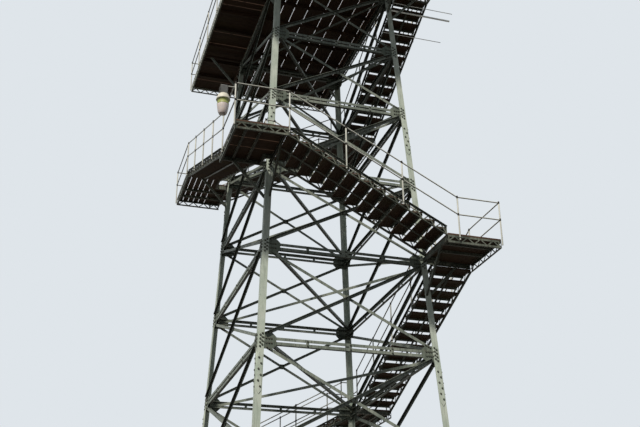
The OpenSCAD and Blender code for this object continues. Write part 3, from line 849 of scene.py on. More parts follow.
class Batch:
    """Many small shells that end up as one mesh, after which the batch is empty again."""

    def __init__(self) -> None:
        """Start empty."""
        self.clear()

    def clear(self) -> None:
        """Forget all shells."""
        self.points: list[np.ndarray] = []
        self.faces: list[tuple[int, ...]] = []
        self.grain: list[np.ndarray] = []
        self.tone: list[np.ndarray] = []
        self.count = 0

    def add(self, shell: Shell, place: Matrix, grain: np.ndarray | None = None, tone: float = 0.5) -> None:
        """Add a shell.

        Args:
            shell: its points and faces.
            place: where it goes.
            grain: each point's place along and across the timber that it belongs to.
            tone: the timber's own lightness, from 0 to 1.
        """
        at, faces = shell
        self.grain.append(at if grain is None else grain)
        self.tone.append(np.full(len(at), tone))
        m = np.array(place)
        self.points.append(at @ m[:3, :3].T + m[:3, 3])
        self.faces.extend(tuple(i + self.count for i in face) for face in faces)
        self.count += len(at)

    def timber(self, low: Point, high: Point, lie: Lie, place: Matrix, rng: np.random.Generator,
               cut: float = 0.004) -> None:
        """Add a sawn timber.

        Args:
            low: lowest corner.
            high: highest corner.
            lie: the axis of its length.
            place: the frame of the two corners.
            rng: draws its tone and the part of the grain that it shows.
            cut: width of its worn edges.
        """
        points, faces = block(low, high, cut)
        order = [0, 1, 2] if lie is Lie.ALONG_X else [1, 0, 2]
        offset = rng.uniform(0, GRAIN_LONG, 3)
        self.add((points, faces), place, points[:, order] + offset, float(rng.uniform(0, 1)))

    def build(self, name: str, finish: Finish, slot: str, *stands_for: str) -> None:
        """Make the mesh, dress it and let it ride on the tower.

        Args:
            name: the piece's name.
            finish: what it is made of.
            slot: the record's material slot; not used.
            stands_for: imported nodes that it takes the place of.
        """
        mesh = bpy.data.meshes.new(name)
        mesh.from_pydata(np.concatenate(self.points).tolist(), [], self.faces)
        grain = mesh.attributes.new("grain", "FLOAT_VECTOR", "POINT")
        grain.data.foreach_set("vector", np.concatenate(self.grain).astype(np.float32).ravel())
        tone = mesh.attributes.new("tone", "FLOAT", "POINT")
        tone.data.foreach_set("value", np.concatenate(self.tone).astype(np.float32))
        mesh.shade_smooth()
        mesh.set_sharp_from_angle(angle=SHARP)
        mesh.materials.append(finish.material())
        made = bpy.data.objects.new(name, mesh)
        bpy.context.scene.collection.objects.link(made)
        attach(made, "root")
        if stands_for:
            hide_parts(*stands_for)
        LOG.info("%s: %d faces", name, len(mesh.polygons))
        self.clear()


@dataclass
class Steelwork:
    """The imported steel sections, in their paint, with splice plates on the legs."""

    plan: TowerPlan
    splice_at: tuple[float, ...] = (1.9, 7.6, 14.75)
    splice_long: float = 1.05
    splice_wide: float = 0.12
    splice_thick: float = 0.012
    splice_tip: float = 0.09
    bolt_rows: int = 6
    pitches: float = 6.2
    stagger: float = 0.24
    bolt_across: float = 0.042

    def dress(self) -> None:
        """Give each packed steel node its finish, by how its name starts."""
        finishes = {
            LEG_PAINT: ("leg_",),
            BAR_PAINT: ("ring_", "braces_", "platform_braces"),
            PLATE_PAINT: ("foot_plates", "gusset_plates"),
            LANDING_PAINT: ("landing_frame_",),
            STAIR_PAINT: ("stringers_",),
            EDGE_PAINT: ("platform_edges",),
            RAIL_PAINT: ("lamp_bracket",),
        }
        for (finish, starts), (name, node) in itertools.product(finishes.items(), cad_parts.items()):
            if name.startswith(starts):
                for slot in node.material_slots:
                    slot.material = finish.material()
                LOG.info("%s: dressed in %s", name, finish.name)

    def splices(self) -> None:
        """Pointed splice plates on both outer sides of each leg, with their bolts."""
        plan, plates, bolts = self.plan, Batch(), Batch()
        long, wide = self.splice_long / 2, self.splice_wide / 2
        straight = long - self.splice_tip
        outline = [(0, -long), (wide, -straight), (wide, straight), (0, long), (-wide, straight),
                   (-wide, -straight)]
        for face, z, side in itertools.product(Face, self.splice_at, (-1, 1)):
            lean = (plan.span(face, 0) - plan.span(face, plan.top)) / plan.slant(face, plan.top)
            turn = Matrix.Rotation(side * -math.atan(lean), 4, "Y")
            at = (side * (plan.span(face, z) - plan.leg_w / 2), -self.splice_thick, plan.slant(face, z))
            place = plan.on_face(face) @ Matrix.Translation(at) @ turn
            plates.add(plate(outline, self.splice_thick), place)
            for i in range(self.bolt_rows):
                row = (i - (self.bolt_rows - 1) / 2) * 2 * straight / self.pitches
                spot = facing((self.splice_wide * self.stagger * (-1) ** i, 0, row), (0, -1, 0))
                bolts.add(bolt(self.bolt_across), place @ spot)
        plates.build("leg_splice_plates", LEG_PAINT, "plate_paint")
        bolts.build("leg_splice_bolts", BOLT_PAINT, "plate_paint")


@dataclass
class Bolting:
    """Bolts of the gussets, struts, braces and feet, with washers: heads outside and nuts inside."""

    plan: TowerPlan
    across: float = 0.044
    pitch: float = 0.062
    edge: float = 0.04
    brace_gap: float = 0.03
    brace_rise: float = 0.055
    brace_bolts: int = 3
    strut_inset: float = 0.008
    strut_bolts: int = 4
    foot_gap: float = 0.03
    gusset_rows: int = 4
    gusset_mid: float = 1.75
    gusset_pitch: float = 0.095
    gusset_columns: tuple[tuple[float, float], ...] = ((0.38, 0.0), (0.72, 0.045))
    anchor_across: float = 0.055
    stud_r: float = 0.0145
    clear: float = 0.001
    bolts: Batch = field(default_factory=Batch)

    def pair(self, place: Matrix, x: float, z: float, outer: float, inner: float) -> None:
        """A head on the outer side and a nut on the inner side of the same hole."""
        self.bolts.add(bolt(self.across), place @ facing((x, outer, z), (0, -1, 0)))
        self.bolts.add(bolt(self.across, End.NUT), place @ facing((x, inner, z), (0, 1, 0)))

    def brace_ends(self, face: Face, s: int) -> tuple[float, float, float, float]:
        """Where a panel's braces start and end: widths and heights on the leaning face.

        Args:
            face: which face.
            s: the panel's storey.

        Returns:
            Half of the width and the height at the lower ends, then at the upper ends.
        """
        plan = self.plan
        rise = plan.strut_h / 2 + self.brace_rise
        foot = plan.foot_t + self.foot_gap + plan.gusset_h / 2
        low = plan.slant(face, foot) if s == 0 else plan.slant(face, plan.level(s)) + rise
        high = plan.slant(face, plan.level(s + 1)) - rise
        inset = plan.leg_w + self.brace_gap
        return plan.span(face, plan.level(s)) - inset, low, plan.span(face, plan.level(s + 1)) - inset, high

    def braces(self, face: Face, s: int) -> None:
        """Bolts at the ends of a panel's two braces and where they cross.

        Args:
            face: which face.
            s: the panel's storey.
        """
        plan, place = self.plan, self.plan.on_face(face)
        x_low, low, x_high, high = self.brace_ends(face, s)
        run = Vector((x_low + x_high, high - low))
        way = run.normalized()
        outside = (plan.leg_t - plan.brace_t, plan.strut_y)
        inside = (plan.leg_t, plan.strut_y + plan.brace_t)
        for side, depths in ((1, outside), (-1, inside)):
            for i in range(self.brace_bolts):
                step = way * (self.edge + i * self.pitch)
                for x, z in ((step.x - x_low, low + step.y), (x_high - step.x, high - step.y)):
                    self.pair(place, side * x, z, *depths)
            for step in (-self.pitch, self.pitch):
                middle = way * (run.length * x_low / (x_low + x_high) + step)
                self.pair(place, side * (middle.x - x_low), low + middle.y, *depths)

    def struts(self, face: Face, k: int) -> None:
        """Bolts at the ends of a ring's struts and on their battens.

        Args:
            face: which face.
            k: the ring's number.
        """
        plan, place = self.plan, self.plan.on_face(face)
        end = plan.span(face, plan.level(k)) - plan.strut_y - plan.brace_w - self.strut_inset
        depths = (plan.leg_t, plan.strut_y + plan.brace_t)
        flange = plan.strut_gap / 2 + plan.brace_w / 2
        up = plan.slant(face, plan.level(k))
        for side, row, i in itertools.product((-1, 1), (-flange, flange), range(self.strut_bolts)):
            self.pair(place, side * (end - self.edge - i * self.pitch), up + row, *depths)
        for i in range(1, plan.battens):
            x = -end + i * (2 * end - plan.brace_w) / plan.battens + plan.brace_w / 2
            for row in (-flange, flange):
                self.bolts.add(bolt(self.across), place @ facing((x, plan.strut_y, up + row), (0, -1, 0)))

    def gussets(self, face: Face, k: int) -> None:
        """Bolts that hold a gusset to the leg's flange, in two staggered columns.

        Args:
            face: which face.
            k: the ring's number, or 0 for the feet.
        """
        plan, place = self.plan, self.plan.on_face(face)
        up = plan.slant(face, plan.level(k))
        if k == 0:
            up = plan.slant(face, plan.foot_t + self.foot_gap + plan.gusset_h / 2)
        elif k == plan.storeys:
            up += plan.strut_h / 2 - plan.gusset_h / 2
        depths = (0.0, plan.leg_t + plan.gusset_t)
        rows = range(self.gusset_rows)
        for side, i, (column, shift) in itertools.product((-1, 1), rows, self.gusset_columns):
            z = up + (i - self.gusset_mid) * self.gusset_pitch + shift
            x = plan.span(face, z * math.cos(plan.tilt(face))) - plan.leg_w * column
            self.pair(place, side * x, z, *depths)

    def anchors(self) -> None:
        """Studs with nuts and washers in the anchor holes of the feet."""
        plan = self.plan
        for sx, sy, ax, ay in itertools.product((-1, 1), repeat=4):
            x = sx * (plan.base_half[0] - plan.leg_w / 2) + ax * plan.anchor_pitch / 2
            y = sy * (plan.base_half[1] - plan.leg_w / 2) + ay * plan.anchor_pitch / 2
            stud = rod(self.stud_r, plan.foot_t - self.clear, 12)
            for shell, z in ((bolt(self.anchor_across, End.NUT), plan.foot_t), (stud, self.clear)):
                self.bolts.add(shell, plan.on_axis @ Matrix.Translation((x, y, z)))
        self.bolts.build("anchor_studs", BOLT_ZINC, "plate_paint")

    def build(self) -> None:
        """One mesh of bolts for each face."""
        for face in Face:
            for s in range(self.plan.storeys):
                self.braces(face, s)
                self.struts(face, s + 1)
            for k in range(self.plan.storeys + 1):
                self.gussets(face, k)
            self.bolts.build(f"bolts_{face.name.lower()}", BOLT_PAINT, "plate_paint")
        self.anchors()


@dataclass
class Treads:
    """Treads of two planks on the stringers' cleats and on an angle under the front edge, held by bolts."""

    plan: TowerPlan
    rng: np.random.Generator
    joint: float = 0.004
    head: float = 0.03
    head_in: float = 0.035
    play: float = 0.002
    wander: float = 0.012
    nosing_cut: float = 0.005
    bolt_across: float = 0.026
    bolt_shift: float = 0.25
    bolt_under: float = 0.03
    bearer_w: float = 0.044
    bearer_h: float = 0.055
    bearer_t: float = 0.005
    bearer_back: float = 0.001
    boards: Batch = field(default_factory=Batch)
    heads: Batch = field(default_factory=Batch)
    angles: Batch = field(default_factory=Batch)

    def ends(self, s: int) -> tuple[float, float]:
        """The two ends of flight s's treads, between its stringers."""
        inset = self.plan.chord_w + self.plan.seat
        return inset, self.plan.width(s) - inset

    def flight(self, s: int) -> None:
        """The treads of one flight.

        Args:
            s: the flight's number.
        """
        plan, rng, place, (y0, y1) = self.plan, self.rng, self.plan.on_flight(s), self.ends(s)
        going, last = plan.going(s), plan.flight_steps(s) - 1
        for j in range(1, last + 1):
            lap = plan.tread_lap if j < last else 0
            x0 = (j - 1) * going + plan.seat + rng.uniform(0, self.play)
            x1 = j * going - plan.seat + lap - rng.uniform(0, 2 * self.play)
            middle = (x0 + x1) / 2 + rng.uniform(-self.wander, self.wander)
            top = j * plan.riser - rng.uniform(0, self.play)
            low = j * plan.riser - plan.tread_t
            for a, b in ((x0, middle - self.joint / 2), (middle + self.joint / 2, x1)):
                self.boards.timber((a, y0, low), (b, y1, top), Lie.ALONG_Y, place, rng, self.nosing_cut)
                for y in (y0 + self.head_in, y1 - self.head_in):
                    self.heads.add(dome(self.head), place @ Matrix.Translation(((a + b) / 2, y, top)))
            for shift in (-self.bolt_shift, self.bolt_shift):
                x = (j - 0.5 + shift) * going
                z = plan.nosing(s, x) + plan.stringer_up - self.bolt_under
                spot = (x, plan.width(s) - plan.chord_w + plan.chord_t, z)
                self.heads.add(bolt(self.bolt_across), place @ facing(spot, (0, 1, 0)))

    def bearers(self, s: int) -> None:
        """The angle under the front edge of each tread of a flight.

        Args:
            s: the flight's number.
        """
        plan, place, (y0, y1) = self.plan, self.plan.on_flight(s), self.ends(s)
        for j in range(1, plan.flight_steps(s)):
            x, top = (j - 1) * plan.going(s) + self.bearer_back, j * plan.riser - plan.tread_t - plan.seat
            low = top - self.bearer_t
            self.angles.add(block((x, y0, low), (x + self.bearer_w, y1, top)), place)
            self.angles.add(block((x, y0, top - self.bearer_h), (x + self.bearer_t, y1, low)), place)

    def build(self) -> None:
        """One mesh of planks for each face, in the place of its packed treads."""
        for face in Face:
            for s in range(face.value, self.plan.storeys, 4):
                self.flight(s)
                self.bearers(s)
            side = face.name.lower()
            self.boards.build(f"tread_planks_{side}", OLD_BOARDS, "old_boards", f"treads_{side}")
        self.heads.build("tread_bolts", BOLT_PAINT, "stair_paint")
        self.angles.build("tread_bearers", STAIR_PAINT, "stair_paint")


@dataclass
class Planking:
    """Boards with open and closed joints on the landings and the platform, and the platform's beams."""

    plan: TowerPlan
    rng: np.random.Generator
    board_w: float = 0.18
    shut: float = 0.002
    slot: float = 0.024
    nail: float = 0.014
    deck_slots: tuple[float, ...] = (-1.11, -0.74, -0.31, 0.23, 0.6, 1.12, 1.6, 2.14)
    strip_slots: tuple[float, ...] = (-3.4, -2.2, -0.6, -0.32, 1.16, 1.82, 2.91, 4.1)
    landing_slots: tuple[tuple[int, ...], ...] = ((1, 4), (2, 5), (1, 2, 4), (), (1, 3, 5), (1, 2, 3, 4, 5),
                                                  (2, 3, 5))
    landing_boards: int = 6
    slot_wander: float = 0.1
    slot_edge: float = 0.1
    wander: float = 0.012
    sink: float = 0.0015
    end_gap: float = 0.001
    nail_in: float = 0.03
    nail_end: float = 0.02
    slim: float = 0.08
    turn_joint: float = 0.004
    strip_joint: float = 0.005
    strip_past: float = 0.14
    boards: Batch = field(default_factory=Batch)
    nails: Batch = field(default_factory=Batch)

    def rows(self, start: float, end: float, slots: tuple[float, ...]) -> list[tuple[float, float]]:
        """Split a width into boards.

        Args:
            start: where the first board starts.
            end: where the last board ends.
            slots: places of the joints that have opened and let light through.

        Returns:
            The two sides of each board.
        """
        boards = []
        inside = [at for at in slots if start + self.slot_edge < at < end - self.slot_edge]
        cuts = [(start, 0.0), *((at, self.slot) for at in inside), (end, 0.0)]
        for (a, gap_a), (b, gap_b) in zip(cuts, cuts[1:]):
            count = max(1, round((b - a) / self.board_w))
            joints = [a + (b - a) * i / count + self.rng.uniform(-self.wander, self.wander)
                      for i in range(1, count)]
            lows = [a + gap_a / 2, *(joint + self.shut / 2 for joint in joints)]
            highs = [*(joint - self.shut / 2 for joint in joints), b - gap_b / 2]
            boards += zip(lows, highs)
        return boards

    def lay(self, low: tuple[float, float], high: tuple[float, float], lie: Lie, place: Matrix,
            bearers: list[float], slots: tuple[float, ...], breaks: tuple[float, ...] = ()) -> None:
        """Lay boards over a rectangle whose top is at height 0.

        Args:
            low: lowest corner of the rectangle.
            high: highest corner of the rectangle.
            lie: the axis that the boards lie along.
            place: the rectangle's frame.
            bearers: places of what the boards are nailed to, along the boards.
            slots: places of the joints that let light through.
            breaks: places where long boards may butt.
        """
        a, b = (0, 1) if lie is Lie.ALONG_X else (1, 0)
        for i, (c0, c1) in enumerate(self.rows(low[b], high[b], slots)):
            cuts = [low[a], *breaks[i % 2 :: 2], high[a]]
            for u0, u1 in zip(cuts, cuts[1:]):
                top = -self.rng.uniform(0, self.sink)
                ends = ((u0 + self.end_gap, c0, -self.plan.board_t), (u1 - self.end_gap, c1, top))
                start, stop = ((end[a], end[b], end[2]) for end in ends)
                self.boards.timber(start, stop, lie, place, self.rng)
                if c1 - c0 <= self.slim:
                    continue
                for u, c in itertools.product(bearers, (c0 + self.nail_in, c1 - self.nail_in)):
                    if u0 + self.nail_end < u < u1 - self.nail_end:
                        spot = (u, c, top) if a == 0 else (c, u, top)
                        self.nails.add(dome(self.nail), place @ Matrix.Translation(spot))

    def landings(self) -> None:
        """Boards along the arriving flight, round each leg."""
        plan = self.plan
        for k in range(1, plan.storeys):
            place = plan.on_corner(k)
            in_x, bend_x, out_x = plan.high_end(k - 1), plan.inner_side(k), plan.outer_side(k)
            in_y, bend_y, out_y = plan.low_end(k), plan.inner_side(k - 1), plan.outer_side(k - 1)
            bearers = [x + plan.chord_w / 2 for x in thirds(bend_x, out_x)]
            bearers += [in_x + self.nail_in, out_x - self.nail_in]
            shares = [(i + self.rng.uniform(-self.slot_wander, self.slot_wander)) / self.landing_boards
                      for i in self.landing_slots[k - 1]]
            slots = tuple(bend_y + (out_y - bend_y) * share for share in shares)
            self.lay((in_x, bend_y), (out_x, out_y), Lie.ALONG_X, place, bearers, slots)
            self.lay((bend_x, in_y), (out_x, bend_y - self.turn_joint), Lie.ALONG_X, place, bearers, slots)
        self.boards.build("landing_planks", OLD_BOARDS, "old_boards", "landing_boards")

    def joist_rows(self) -> list[float]:
        """Places of the joists along the platform.

        Returns:
            Their places, from the front to the back.
        """
        plan = self.plan
        pitch = 2 * plan.reach / (plan.joists + 1)
        return [i * pitch - plan.reach for i in range(1, plan.joists + 1)]

    def platform(self) -> None:
        """Boards across the strip past the legs at the left, and lengthwise over the rest."""
        plan, place = self.plan, self.plan.on_platform
        (left, right), reach, (gate, well) = plan.deck_sides, plan.reach, plan.arrival
        joists = self.joist_rows()
        strip = self.strip_past - plan.top_half[0]
        self.lay((left, -reach), (strip - self.strip_joint, reach), Lie.ALONG_X, place,
                 [left + self.nail_in, strip - self.nail_in], self.strip_slots)
        self.lay((strip, -reach), (right, reach), Lie.ALONG_Y, place, joists, self.deck_slots,
                 (joists[2], joists[3], joists[5], joists[6]))
        ends = [self.nail_in - reach, *thirds(-reach, gate), gate - self.nail_in]
        self.lay((right + 2 * plan.seat, -reach), (well, gate), Lie.ALONG_Y, place, ends, self.deck_slots)
        self.boards.build("platform_planks", OLD_BOARDS, "old_boards", "platform_boards")

    def beams(self) -> None:
        """Sawn joists, bearers and outriggers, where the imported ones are."""
        plan, rng, place = self.plan, self.rng, self.plan.on_platform
        (left, right), reach, (gate, well) = plan.deck_sides, plan.reach, plan.arrival
        inset, half = plan.chord_w + plan.seat, plan.joist_w / 2
        top = -plan.board_t - plan.seat
        low = top - plan.joist_h
        rows = [(left + inset, right - inset, y) for y in self.joist_rows()]
        rows += [(right + 2 * plan.seat + inset, well - inset, y) for y in thirds(-reach, gate)]
        for x0, x1, y in rows:
            self.boards.timber((x0, y - half, low), (x1, y + half, top), Lie.ALONG_X, place, rng)
        under = low - plan.seat
        floor = plan.top + plan.strut_h / 2 + plan.seat - plan.landing_top(plan.storeys)
        beam_x, beam_y = (side - plan.leg_w / 2 for side in plan.top_half)
        for x in (-beam_x, beam_x):
            ends = (x - half, inset - reach, floor), (x + half, reach - inset, under)
            self.boards.timber(*ends, Lie.ALONG_Y, place, rng)
        past, inner = beam_x + half + plan.seat, beam_x - half - plan.seat
        for y, (x0, x1) in itertools.product((-beam_y, beam_y), ((left + inset, -past), (-inner, inner))):
            self.boards.timber((x0, y - half, floor), (x1, y + half, under), Lie.ALONG_X, place, rng)
        self.boards.build("platform_beams", OLD_JOISTS, "old_boards", "platform_joists")

    def build(self) -> None:
        """All boards and beams."""
        self.landings()
        self.platform()
        self.beams()
        self.nails.build("board_nails", BOLT_ZINC, "old_boards")


@dataclass
class Railings:
    """Tube railings: posts with domed caps, a top rail and a knee rail, and a clamp at each crossing."""

    plan: TowerPlan
    slim: float = 0.93
    rail_share: float = 0.8
    post_sides: int = 14
    sides: int = 12
    cap: tuple[tuple[float, float], ...] = ((1.0, 0.7), (0.72, 0.2), (0.3, 0.0))
    clamp_long: float = 0.075
    clamp_past: float = 0.9
    clamp_slim: float = 0.94
    clamp_bolt: float = 0.02
    strap_down: float = 0.65
    strap_high: float = 0.03
    strap_ears: tuple[float, float] = (1.7, 0.85)
    strap_bolt: float = 0.024
    tubes: Batch = field(default_factory=Batch)
    irons: Batch = field(default_factory=Batch)

    def post(self, place: Matrix, at: Vector, ground: float) -> None:
        """A post with its cap; its foot is a little under the boards but no lower than the ground.

        Args:
            place: the frame of its place.
            at: where it stands, at the boards' height.
            ground: height that its foot doesn't go below.
        """
        plan = self.plan
        foot = max(at.z - plan.board_t - plan.post_under, ground)
        r = plan.rail_d / 2 * self.slim
        long = at.z + plan.rail_h - foot
        form = [(0, 0), (r, 0), *((r * wide, long - r * down) for wide, down in self.cap), (0, long)]
        self.tubes.add(lathe(form, self.post_sides), place @ Matrix.Translation((at.x, at.y, foot)))

    def clamp(self, place: Matrix, at: Vector, way: Vector, across: Vector, share: float) -> None:
        """A cross clamp: a sleeve round the post, a sleeve round the rail and a bolt on the walking side.

        Args:
            place: the frame of its place.
            at: where rail and post cross.
            way: the rail's direction.
            across: the walking side.
            share: its place along the rail; the sleeve doesn't reach past the rail's ends at 0 and 1.
        """
        r, half = self.plan.rail_d / 2, self.clamp_long / 2
        back, fore = (r * self.clamp_past if share == end else half for end in (0, 1))
        upright = rod(r, self.clamp_long, self.sides)
        self.irons.add(upright, place @ facing(at - Vector((0, 0, half)), (0, 0, 1)))
        sleeve = rod(r * self.clamp_slim, back + fore, self.sides)
        self.irons.add(sleeve, place @ facing(at - way * back, way))
        self.irons.add(bolt(self.clamp_bolt), place @ facing(at + across * r * self.clamp_past, across))

    def strap(self, place: Matrix, at: Vector, out: Vector) -> None:
        """A strap that ties a post to the steel beside it.

        Args:
            place: the frame of its place.
            at: where the post stands, at the boards' height.
            out: the side away from where people walk.
        """
        r = self.plan.rail_d / 2
        aside, behind = (r * share for share in self.strap_ears)
        spot = at - Vector((0, 0, self.plan.board_t + self.plan.post_under * self.strap_down))
        self.irons.add(rod(r, self.strap_high, self.sides), place @ facing(spot, (0, 0, 1)))
        middle, side = spot - out * behind + Vector((0, 0, self.strap_high / 2)), Vector((-out.y, out.x, 0))
        for ear in (-aside, aside):
            self.irons.add(bolt(self.strap_bolt), place @ facing(middle + side * ear, out))

    def rails(self, place: Matrix, a: Vector, b: Vector) -> None:
        """The top rail and the knee rail between two points at the boards' height.

        Args:
            place: the frame of the two points.
            a: where they start.
            b: where they end.
        """
        tube = rod(self.plan.rail_d / 2 * self.rail_share, (b - a).length, self.sides)
        for height in self.plan.rail_heights:
            self.tubes.add(tube, place @ facing(a + Vector((0, 0, height)), b - a))

    def row(self, place: Matrix, start: Vector, end: Vector, shares: Sequence[float] | None = None,
            walk: int = 1, loose: Sequence[float] = (0, 1), ground: float = -math.inf) -> None:
        """A railing between two points at the boards' height.

        Args:
            place: the frame of its two ends.
            start: where it starts.
            end: where it ends.
            shares: places of its posts as shares of its length, or None for one post a bay.
            walk: 1 where people walk to its left, and -1 where they walk to its right.
            loose: places of the posts that have no strap.
            ground: height that no post's foot goes below.
        """
        self.rails(place, start, end)
        way = (end - start).normalized()
        across = Vector((-way.y, way.x, 0)).normalized() * walk
        if shares is None:
            bays = self.plan.bays((end - start).length)
            shares = [i / bays for i in range(bays)]
        for share in shares:
            at = start.lerp(end, share)
            self.post(place, at, ground)
            for height in self.plan.rail_heights:
                self.clamp(place, at + Vector((0, 0, height)), way, across, share)
            if share not in loose:
                self.strap(place, at, -across)

    def flight(self, s: int, y: float, start: float, walk: int) -> None:
        """The railing on one side of a flight.

        Args:
            s: the flight's number.
            y: distance of the rails from the flight's inner side.
            start: distance of the first post from the flight's lower end.
            walk: 1 where people walk to its left, and -1 where they walk to its right.
        """
        plan = self.plan
        end = plan.run(s) - plan.rail_off
        bays = plan.bays(end - start)
        a, b = (Vector((x, y, plan.nosing(s, x))) for x in (start, end))
        shares = [i / bays for i in range(bays + 1)]
        loose, ground = (shares[:2], 0.0) if s == 0 else ((), -math.inf)
        self.row(plan.on_flight(s), a, b, shares, walk, loose, ground)

    def landing(self, k: int) -> None:
        """The outer and inner railings of a landing, each in two parts that meet at its post.

        Args:
            k: the landing's number.
        """
        plan = self.plan
        gap = plan.rail_d / 2 + plan.seat
        in_x, in_y = plan.high_end(k - 1), plan.low_end(k)
        outer = (plan.outer_side(k) + plan.rail_off, plan.outer_side(k - 1) + plan.rail_off)
        inner = (plan.inner_side(k) - plan.rail_off, plan.inner_side(k - 1) - plan.rail_off)
        for (x, y), y_end, walk in ((outer, in_y + plan.going(k) + gap, -1), (inner, in_y, 1)):
            for a, b, shares in (((in_x, y), (x, y), (1,)), ((x, y - gap), (x, y_end), ())):
                self.row(plan.on_corner(k), Vector((*a, 0)), Vector((*b, 0)), shares, walk)

    def platform(self) -> None:
        """The railing round the platform and the well of the last flight."""
        plan = self.plan
        gap, off = plan.rail_d / 2 + plan.seat, plan.rail_off
        reach, (gate, well) = plan.reach + off, plan.arrival
        left, inner, right = plan.deck_sides[0] - off, plan.deck_sides[1] + off, well + off
        for a, b in (
            ((left, reach), (left, gap - reach)),
            ((left, -reach), (right - gap, -reach)),
            ((right, -reach), (right, gate)),
            ((inner, gate + off), (inner, reach - gap)),
            ((inner, reach), (left + gap, reach)),
        ):
            self.row(plan.on_platform, Vector((*a, 0)), Vector((*b, 0)))

    def build(self) -> None:
        """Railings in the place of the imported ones, and all clamps as one mesh."""
        plan = self.plan
        for face in Face:
            for s in range(face.value, plan.storeys, 4):
                outer_start = plan.rail_off if s == 0 else -plan.going(s)
                self.flight(s, plan.width(s) + plan.rail_off, outer_start, -1)
                self.flight(s, -plan.rail_off, plan.rail_off, 1)
            side = face.name.lower()
            self.tubes.build(f"flight_tubes_{side}", RAIL_PAINT, "rail_paint", f"flight_rails_{side}")
        for c, corner in enumerate(("front_left", "back_left", "back_right", "front_right")):
            for k in range(c + 1, plan.storeys, 4):
                self.landing(k)
            self.tubes.build(f"landing_tubes_{corner}", RAIL_PAINT, "rail_paint", f"landing_rails_{corner}")
        self.platform()
        self.tubes.build("platform_tubes", RAIL_PAINT, "rail_paint", "platform_rails")
        self.irons.build("rail_clamps", CLAMP_IRON, "rail_paint")


@dataclass
class Lamp:
    """The lamp on its arm: a gear box with fins, a shade, a coloured ring and a clouded cup."""

    plan: TowerPlan
    cap_share: float = 0.31
    shade_share: float = 0.19
    band_share: float = 0.17
    neck_share: float = 0.42
    box_share: float = 0.27
    box_in: float = 0.92
    box_cut: float = 0.012
    fins: int = 7
    fin_from: float = 0.12
    fin_pitch: float = 0.125
    fin_t: float = 0.008
    fin_cut: float = 0.002
    lid_bolt: float = 0.018
    lid_bolt_in: float = 0.7
    sides: int = 64
    parts: Batch = field(default_factory=Batch)

    def box(self, place: Matrix, cap: float) -> None:
        """The gear box with its fins and four bolts in the lid.

        Args:
            place: the frame of the box, from the middle of its underside.
            cap: its height.
        """
        half = self.box_share * self.plan.lamp_w
        core = half * self.box_in
        self.parts.add(block((-core, -core, 0), (core, core, cap), self.box_cut), place)
        for i in range(self.fins):
            z = cap * (self.fin_from + self.fin_pitch * i)
            self.parts.add(block((-half, -half, z), (half, half, z + self.fin_t), self.fin_cut), place)
        for sx, sy in itertools.product((-half, half), repeat=2):
            spot = (sx * self.lid_bolt_in, sy * self.lid_bolt_in, cap - self.lid_bolt / 2)
            self.parts.add(bolt(self.lid_bolt), place @ facing(spot, (0, 0, 1)))
        self.parts.build("lamp_gear_box", LAMP_CAP, "lamp_shell", "lamp_housing")

    def build(self) -> None:
        """The box and three turned parts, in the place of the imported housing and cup."""
        plan = self.plan
        k, w, h = plan.lamp_landing, plan.lamp_w, plan.lamp_h
        x, y = plan.outer_side(k) + plan.rail_off + plan.lamp_arm, plan.outer_side(k - 1) + plan.rail_off
        cap, shade, band = h * self.cap_share, h * self.shade_share, h * self.band_share
        neck, cup = w * self.neck_share, h - cap - shade - band
        bottom = plan.rail_h - plan.lamp_drop - plan.seat - cap
        place = plan.on_corner(k) @ Matrix.Translation((x, y, bottom))
        self.box(place, cap)
        hood = [(0, -shade), (neck, -shade), (0.49 * w, -shade), (0.5 * w, -shade + 0.012),
                (0.49 * w, -shade + 0.03), (0.44 * w, -shade * 0.55), (0.385 * w, -shade * 0.2),
                (0.36 * w, -0.012), (0.34 * w, 0), (0, 0)]
        rim, floor = -shade - plan.seat, -shade - band
        ring = [(0, floor), (neck * 0.97, floor), (neck, floor + 0.008), (neck * 0.96, floor + 0.02),
                (neck * 0.96, rim - 0.02), (neck, rim - 0.008), (neck * 0.97, rim), (0, rim)]
        top, low, tip = floor - plan.seat, floor - cup + 0.001, 0.75 * neck
        bowl = [(0, low), (tip * 0.55, low), (tip * 0.86, low + 0.012), (tip, low + 0.045),
                (tip + (neck - tip) * 0.35, low + cup * 0.36), (tip + (neck - tip) * 0.7, low + cup * 0.68),
                (neck * 0.985, top - 0.012), (neck * 0.97, top), (0, top)]
        for name, form, finish, slot, stands_for in (
            ("lamp_shade", hood, LAMP_SHADE, "lamp_shell", ()),
            ("lamp_ring", ring, LAMP_BAND, "lamp_shell", ()),
            ("lamp_cup", bowl, LAMP_CUP, "lamp_cup", ("lamp_bowl",)),
        ):
            self.parts.add(lathe(form, self.sides), place)
            self.parts.build(name, finish, slot, *stands_for)


@dataclass
class OutriggerTubes:
    """Galvanised tubes across under the last flight, with plugged ends."""

    plan: TowerPlan
    bare_share: float = 0.96
    inset: float = 0.01
    plug: float = 0.025
    plug_soft: float = 0.3
    sides: int = 24

    def build(self) -> None:
        """The tubes with their plugs."""
        plan, batch = self.plan, Batch()
        s = plan.storeys - 1
        place, long = plan.on_flight(s), plan.width(s) + plan.tube_out
        steep = math.cos(math.atan(plan.riser / plan.going(s)))
        for share, thick in plan.tubes:
            x, r = share * plan.run(s), thick * plan.tube_d / 2
            z = plan.nosing(s, x) - plan.stringer_drop(s) - (r + plan.seat) / steep
            tube = rod(r * self.bare_share, long - 2 * self.inset, self.sides)
            batch.add(tube, place @ facing((x, self.inset, z), (0, 1, 0)))
            plug = rod(r, self.plug, self.sides, self.plug_soft)
            for y in (0.0, long - self.plug):
                batch.add(plug, place @ facing((x, y, z), (0, 1, 0)))
        batch.build("outrigger_tube_set", TUBE_ZINC, "tube_steel", "outrigger_tubes")


